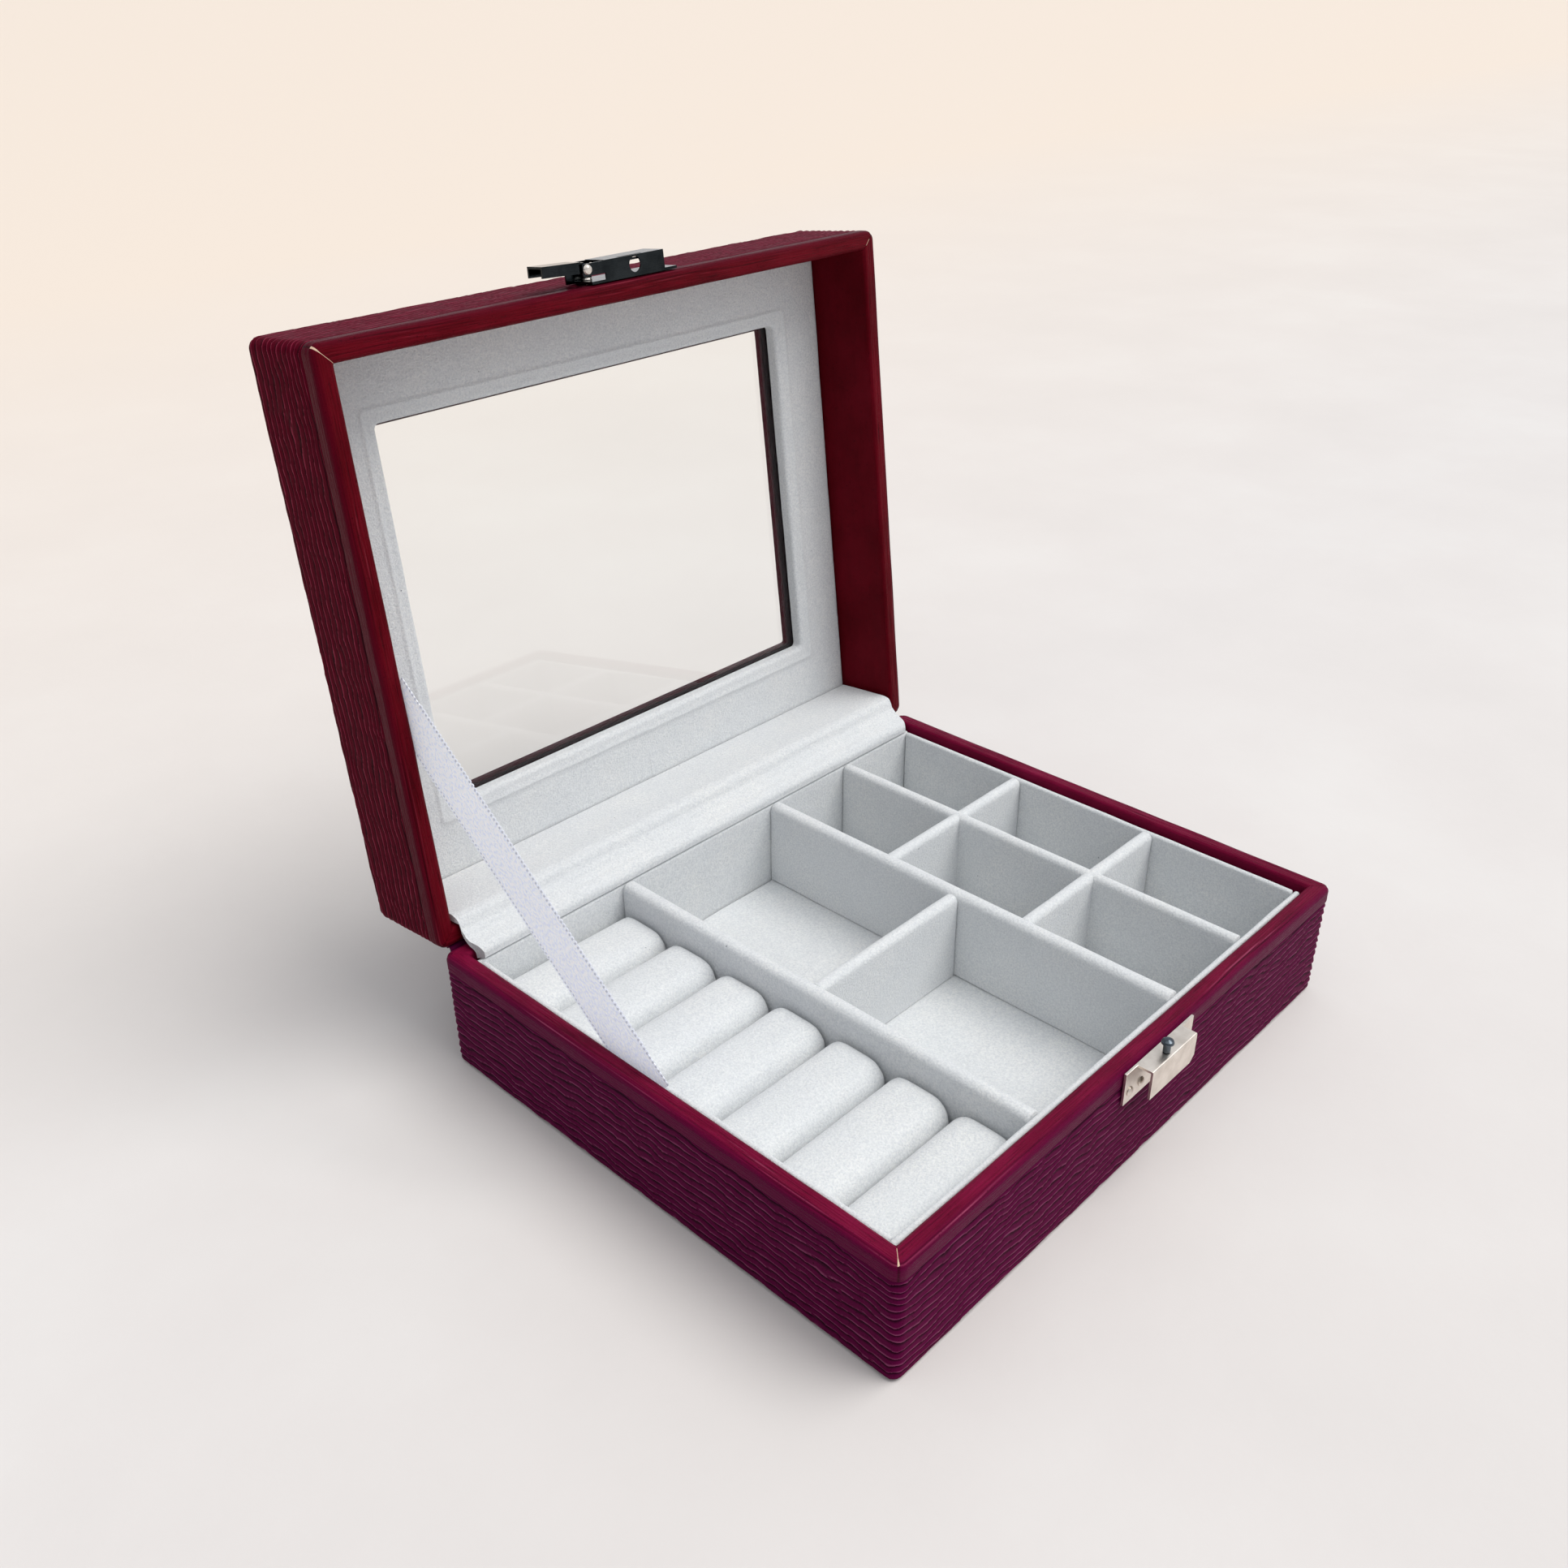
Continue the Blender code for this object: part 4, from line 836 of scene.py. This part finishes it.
low_end, high_end = Vector((8.0 * MM, 37.0 * MM)), Vector(from_lid(68.0, 0.0))
along = (high_end - low_end).normalized()
across = Vector((along.y, -along.x))
tail, half_width, thickness, cup, waver = 9.0 * MM, 8.0 * MM, 0.22 * MM, 0.10 * MM, 0.08 * MM
first, last = low_end - along * tail, high_end + along * tail
length = (last - first).length
ribbon_x = -94.0 * MM
cloth = bmesh.new()
cloth.loops.layers.uv.new("cloth")
bmesh.ops.create_grid(cloth, x_segments=12, y_segments=96, size=0.5, calc_uvs=True)
for vert in cloth.verts:
    side, far = vert.co.x * 2, vert.co.y + 0.5
    spot = first + along * (length * far) + across * (half_width * side)
    taut = math.sin(math.pi * far)
    curl = cup * side * side + waver * noise.noise(Vector((side * 1.2, far * 9, 0))) * taut
    vert.co = (ribbon_x + curl - cup / 2, spot.x, spot.y)
ribbon = make_piece("satin_ribbon", cloth, satin, None, ["stay_ribbon"], flip=False)
thick = ribbon.modifiers.new("thick", "SOLIDIFY")
thick.thickness, thick.offset = thickness, 0.0
apply_modifiers(ribbon)

# Half rings of thread along both edges, each turned from a small circle.
loops = bmesh.new()
loop_pitch, loop_r, thread_r, loop_waver = 1.30 * MM, 0.45 * MM, 0.17 * MM, 0.12 * MM
upright = Matrix.Translation((loop_r, 0, 0)) @ Matrix.Rotation(math.radians(90), 4, "X")
count = round((length - 2 * tail) / loop_pitch)
for edge in (-1, 1):
    for k in range(count):
        circle = bmesh.ops.create_circle(loops, cap_ends=False, segments=4, radius=thread_r, matrix=upright)["verts"]
        bmesh.ops.spin(loops, geom=circle + list({e for v in circle for e in v.link_edges}), cent=(0, 0, 0),
                       axis=(0, 0, 1), angle=math.radians(180), steps=5, use_merge=False, use_duplicate=False)
        ring, to_visit = set(circle), list(circle)
        while to_visit:
            vert = to_visit.pop()
            fresh = {e.other_vert(vert) for e in vert.link_edges} - ring
            ring |= fresh
            to_visit += fresh
        wobble = loop_waver * noise.noise(Vector((k * 1.7, edge, 0)))
        middle = low_end + along * (loop_pitch * (k + 0.5)) + across * (edge * (half_width + wobble))
        for vert in ring:
            spot = middle + across * (vert.co.y * edge) + along * vert.co.x
            vert.co = (ribbon_x + cup / 2 + vert.co.z, spot.x, spot.y)
picots = make_piece("ribbon_edge_loops", loops, satin, None)
for piece in (ribbon, picots):
    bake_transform(piece)


# ---------------------------------------------------------------- clasp
# Bent nickel-plated sheet, nailed through the leather into the boards. The keeper carries a domed steel
# stud; the catch has the hole for it, a pin with a torsion spring, and the thumb lever with its hook.
def plated(name, tone, shade, rough_low, rough_high, brush):
    finish, shader = new_finish(name, Metallic=1.0)
    where = place_on(finish)
    lines = grain(finish, place_on(finish, (1.0, 9.0, 9.0)), brush, 4)
    smears = grain(finish, where, 240, 4)
    colour = mixed(finish, above(finish, smears, 0.35, 0.8), linear(tone), linear(shade))
    connect(finish, colour, shader.inputs["Base Color"])
    connect(finish, between(finish, lines, rough_low, rough_high), shader.inputs["Roughness"])
    relief(finish, shader, [(lines, 0.12, 0.00008), (smears, 0.15, 0.0002)])
    return finish


nickel = plated("brushed nickel", "efe6dc", "cfc5ba", 0.22, 0.42, 420)
# The catch and lever are the same nickel, painted near black as a painted reflection of the dark things around them.
nickel_painted_dark = plated("polished catch", "2f3335", "1a1d1f", 0.06, 0.16, 300)
steel = plated("domed steel", "6d757c", "454c54", 0.16, 0.3, 500)


def eased_copy(name, source, finish, body, ease):
    """The sheet part with its cut edges broken by a fine round, which catches the light."""
    shape = bmesh.new()
    shape.from_mesh(nodes[source].data)
    bmesh.ops.remove_doubles(shape, verts=shape.verts, dist=1e-6)
    bmesh.ops.dissolve_limit(shape, angle_limit=math.radians(1.0), verts=shape.verts, edges=shape.edges)
    piece = make_piece(name, shape, finish, body, [source], sharp=35, flip=False)
    round_over = piece.modifiers.new("round over", "BEVEL")
    round_over.width, round_over.segments, round_over.limit_method = ease, 2, "ANGLE"
    round_over.angle_limit = math.radians(40)
    return piece


eased_copy("keeper_bent_sheet", "keeper_body", nickel, "base", 0.10 * MM)
eased_copy("catch_bent_sheet", "catch_body", nickel_painted_dark, "lid", 0.10 * MM)
eased_copy("thumb_lever", "catch_lever", nickel_painted_dark, "catch_lever", 0.08 * MM)
for part in ("keeper_nail_1", "keeper_nail_2", "keeper_nail_3", "catch_nail_1", "catch_nail_2", "catch_pin"):
    wear(part, nickel)
wear("keeper_stud", steel)
wear("catch_spring", steel)


# ---------------------------------------------------------------- table and light
# A wide pale table top, cooler near the case and warmer far behind. One broad soft light comes from the
# upper right and a weaker one from the upper left, under a pale sky that is dimmer on the left.
table_top, shader = new_finish("pale table", Roughness=0.75, Specular_IOR_Level=0.3)
where = place_on(table_top)
clouds = grain(table_top, where, 7, 5, 0.6)
colour = ramp(table_top, clouds, [(0.3, "d8d3d0"), (0.5, "dbd6d3"), (0.7, "dedad7")])
far = node(table_top, "SeparateXYZ", {"Vector": where}).outputs["Y"]
colour = mixed(table_top, above(table_top, far, 0.1, 1.2), colour, linear("e6d8ca"))
connect(table_top, colour, shader.inputs["Base Color"])
relief(table_top, shader, [(grain(table_top, where, 260, 4), 0.15, 0.0004)])
top = bmesh.new()
bmesh.ops.create_grid(top, x_segments=8, y_segments=8, size=30.0)
mesh = bpy.data.meshes.new("table")
top.to_mesh(mesh)
top.free()
table = bpy.data.objects.new("table", mesh)
scene.collection.objects.link(table)
mesh.materials.append(table_top)

sky = bpy.data.worlds.new("sky")
sky.use_nodes = True
sky_nodes, sky_links = sky.node_tree.nodes, sky.node_tree.links
sky_nodes["Background"].inputs["Color"].default_value = (0.92, 0.95, 1.0, 1.0)
toward = sky_nodes.new("ShaderNodeTexCoord")
split = sky_nodes.new("ShaderNodeSeparateXYZ")
dimmer = sky_nodes.new("ShaderNodeMapRange")
for socket, value in (("From Min", -1.0), ("From Max", 0.6), ("To Min", 0.28), ("To Max", 0.74)):
    dimmer.inputs[socket].default_value = value
sky_links.new(toward.outputs["Generated"], split.inputs["Vector"])
sky_links.new(split.outputs["X"], dimmer.inputs["Value"])
sky_links.new(dimmer.outputs["Result"], sky_nodes["Background"].inputs["Strength"])
scene.world = sky


def soft_sun(name, spot, spread, power, tint):
    """Even light from far away, from the direction of spot, as soft as a window that wide in degrees."""
    lamp = bpy.data.lights.new(name, "SUN")
    lamp.energy, lamp.color, lamp.angle = power, tint, math.radians(spread)
    light = bpy.data.objects.new(name, lamp)
    light.rotation_euler = (-Vector(spot)).to_track_quat("-Z", "Y").to_euler()
    scene.collection.objects.link(light)


soft_sun("window light", (0.42, -0.5, 1.2), 42, 2.0, (1.0, 0.985, 0.96))
soft_sun("ceiling fill", (-0.6, -0.35, 1.2), 70, 0.5, (0.96, 0.98, 1.0))
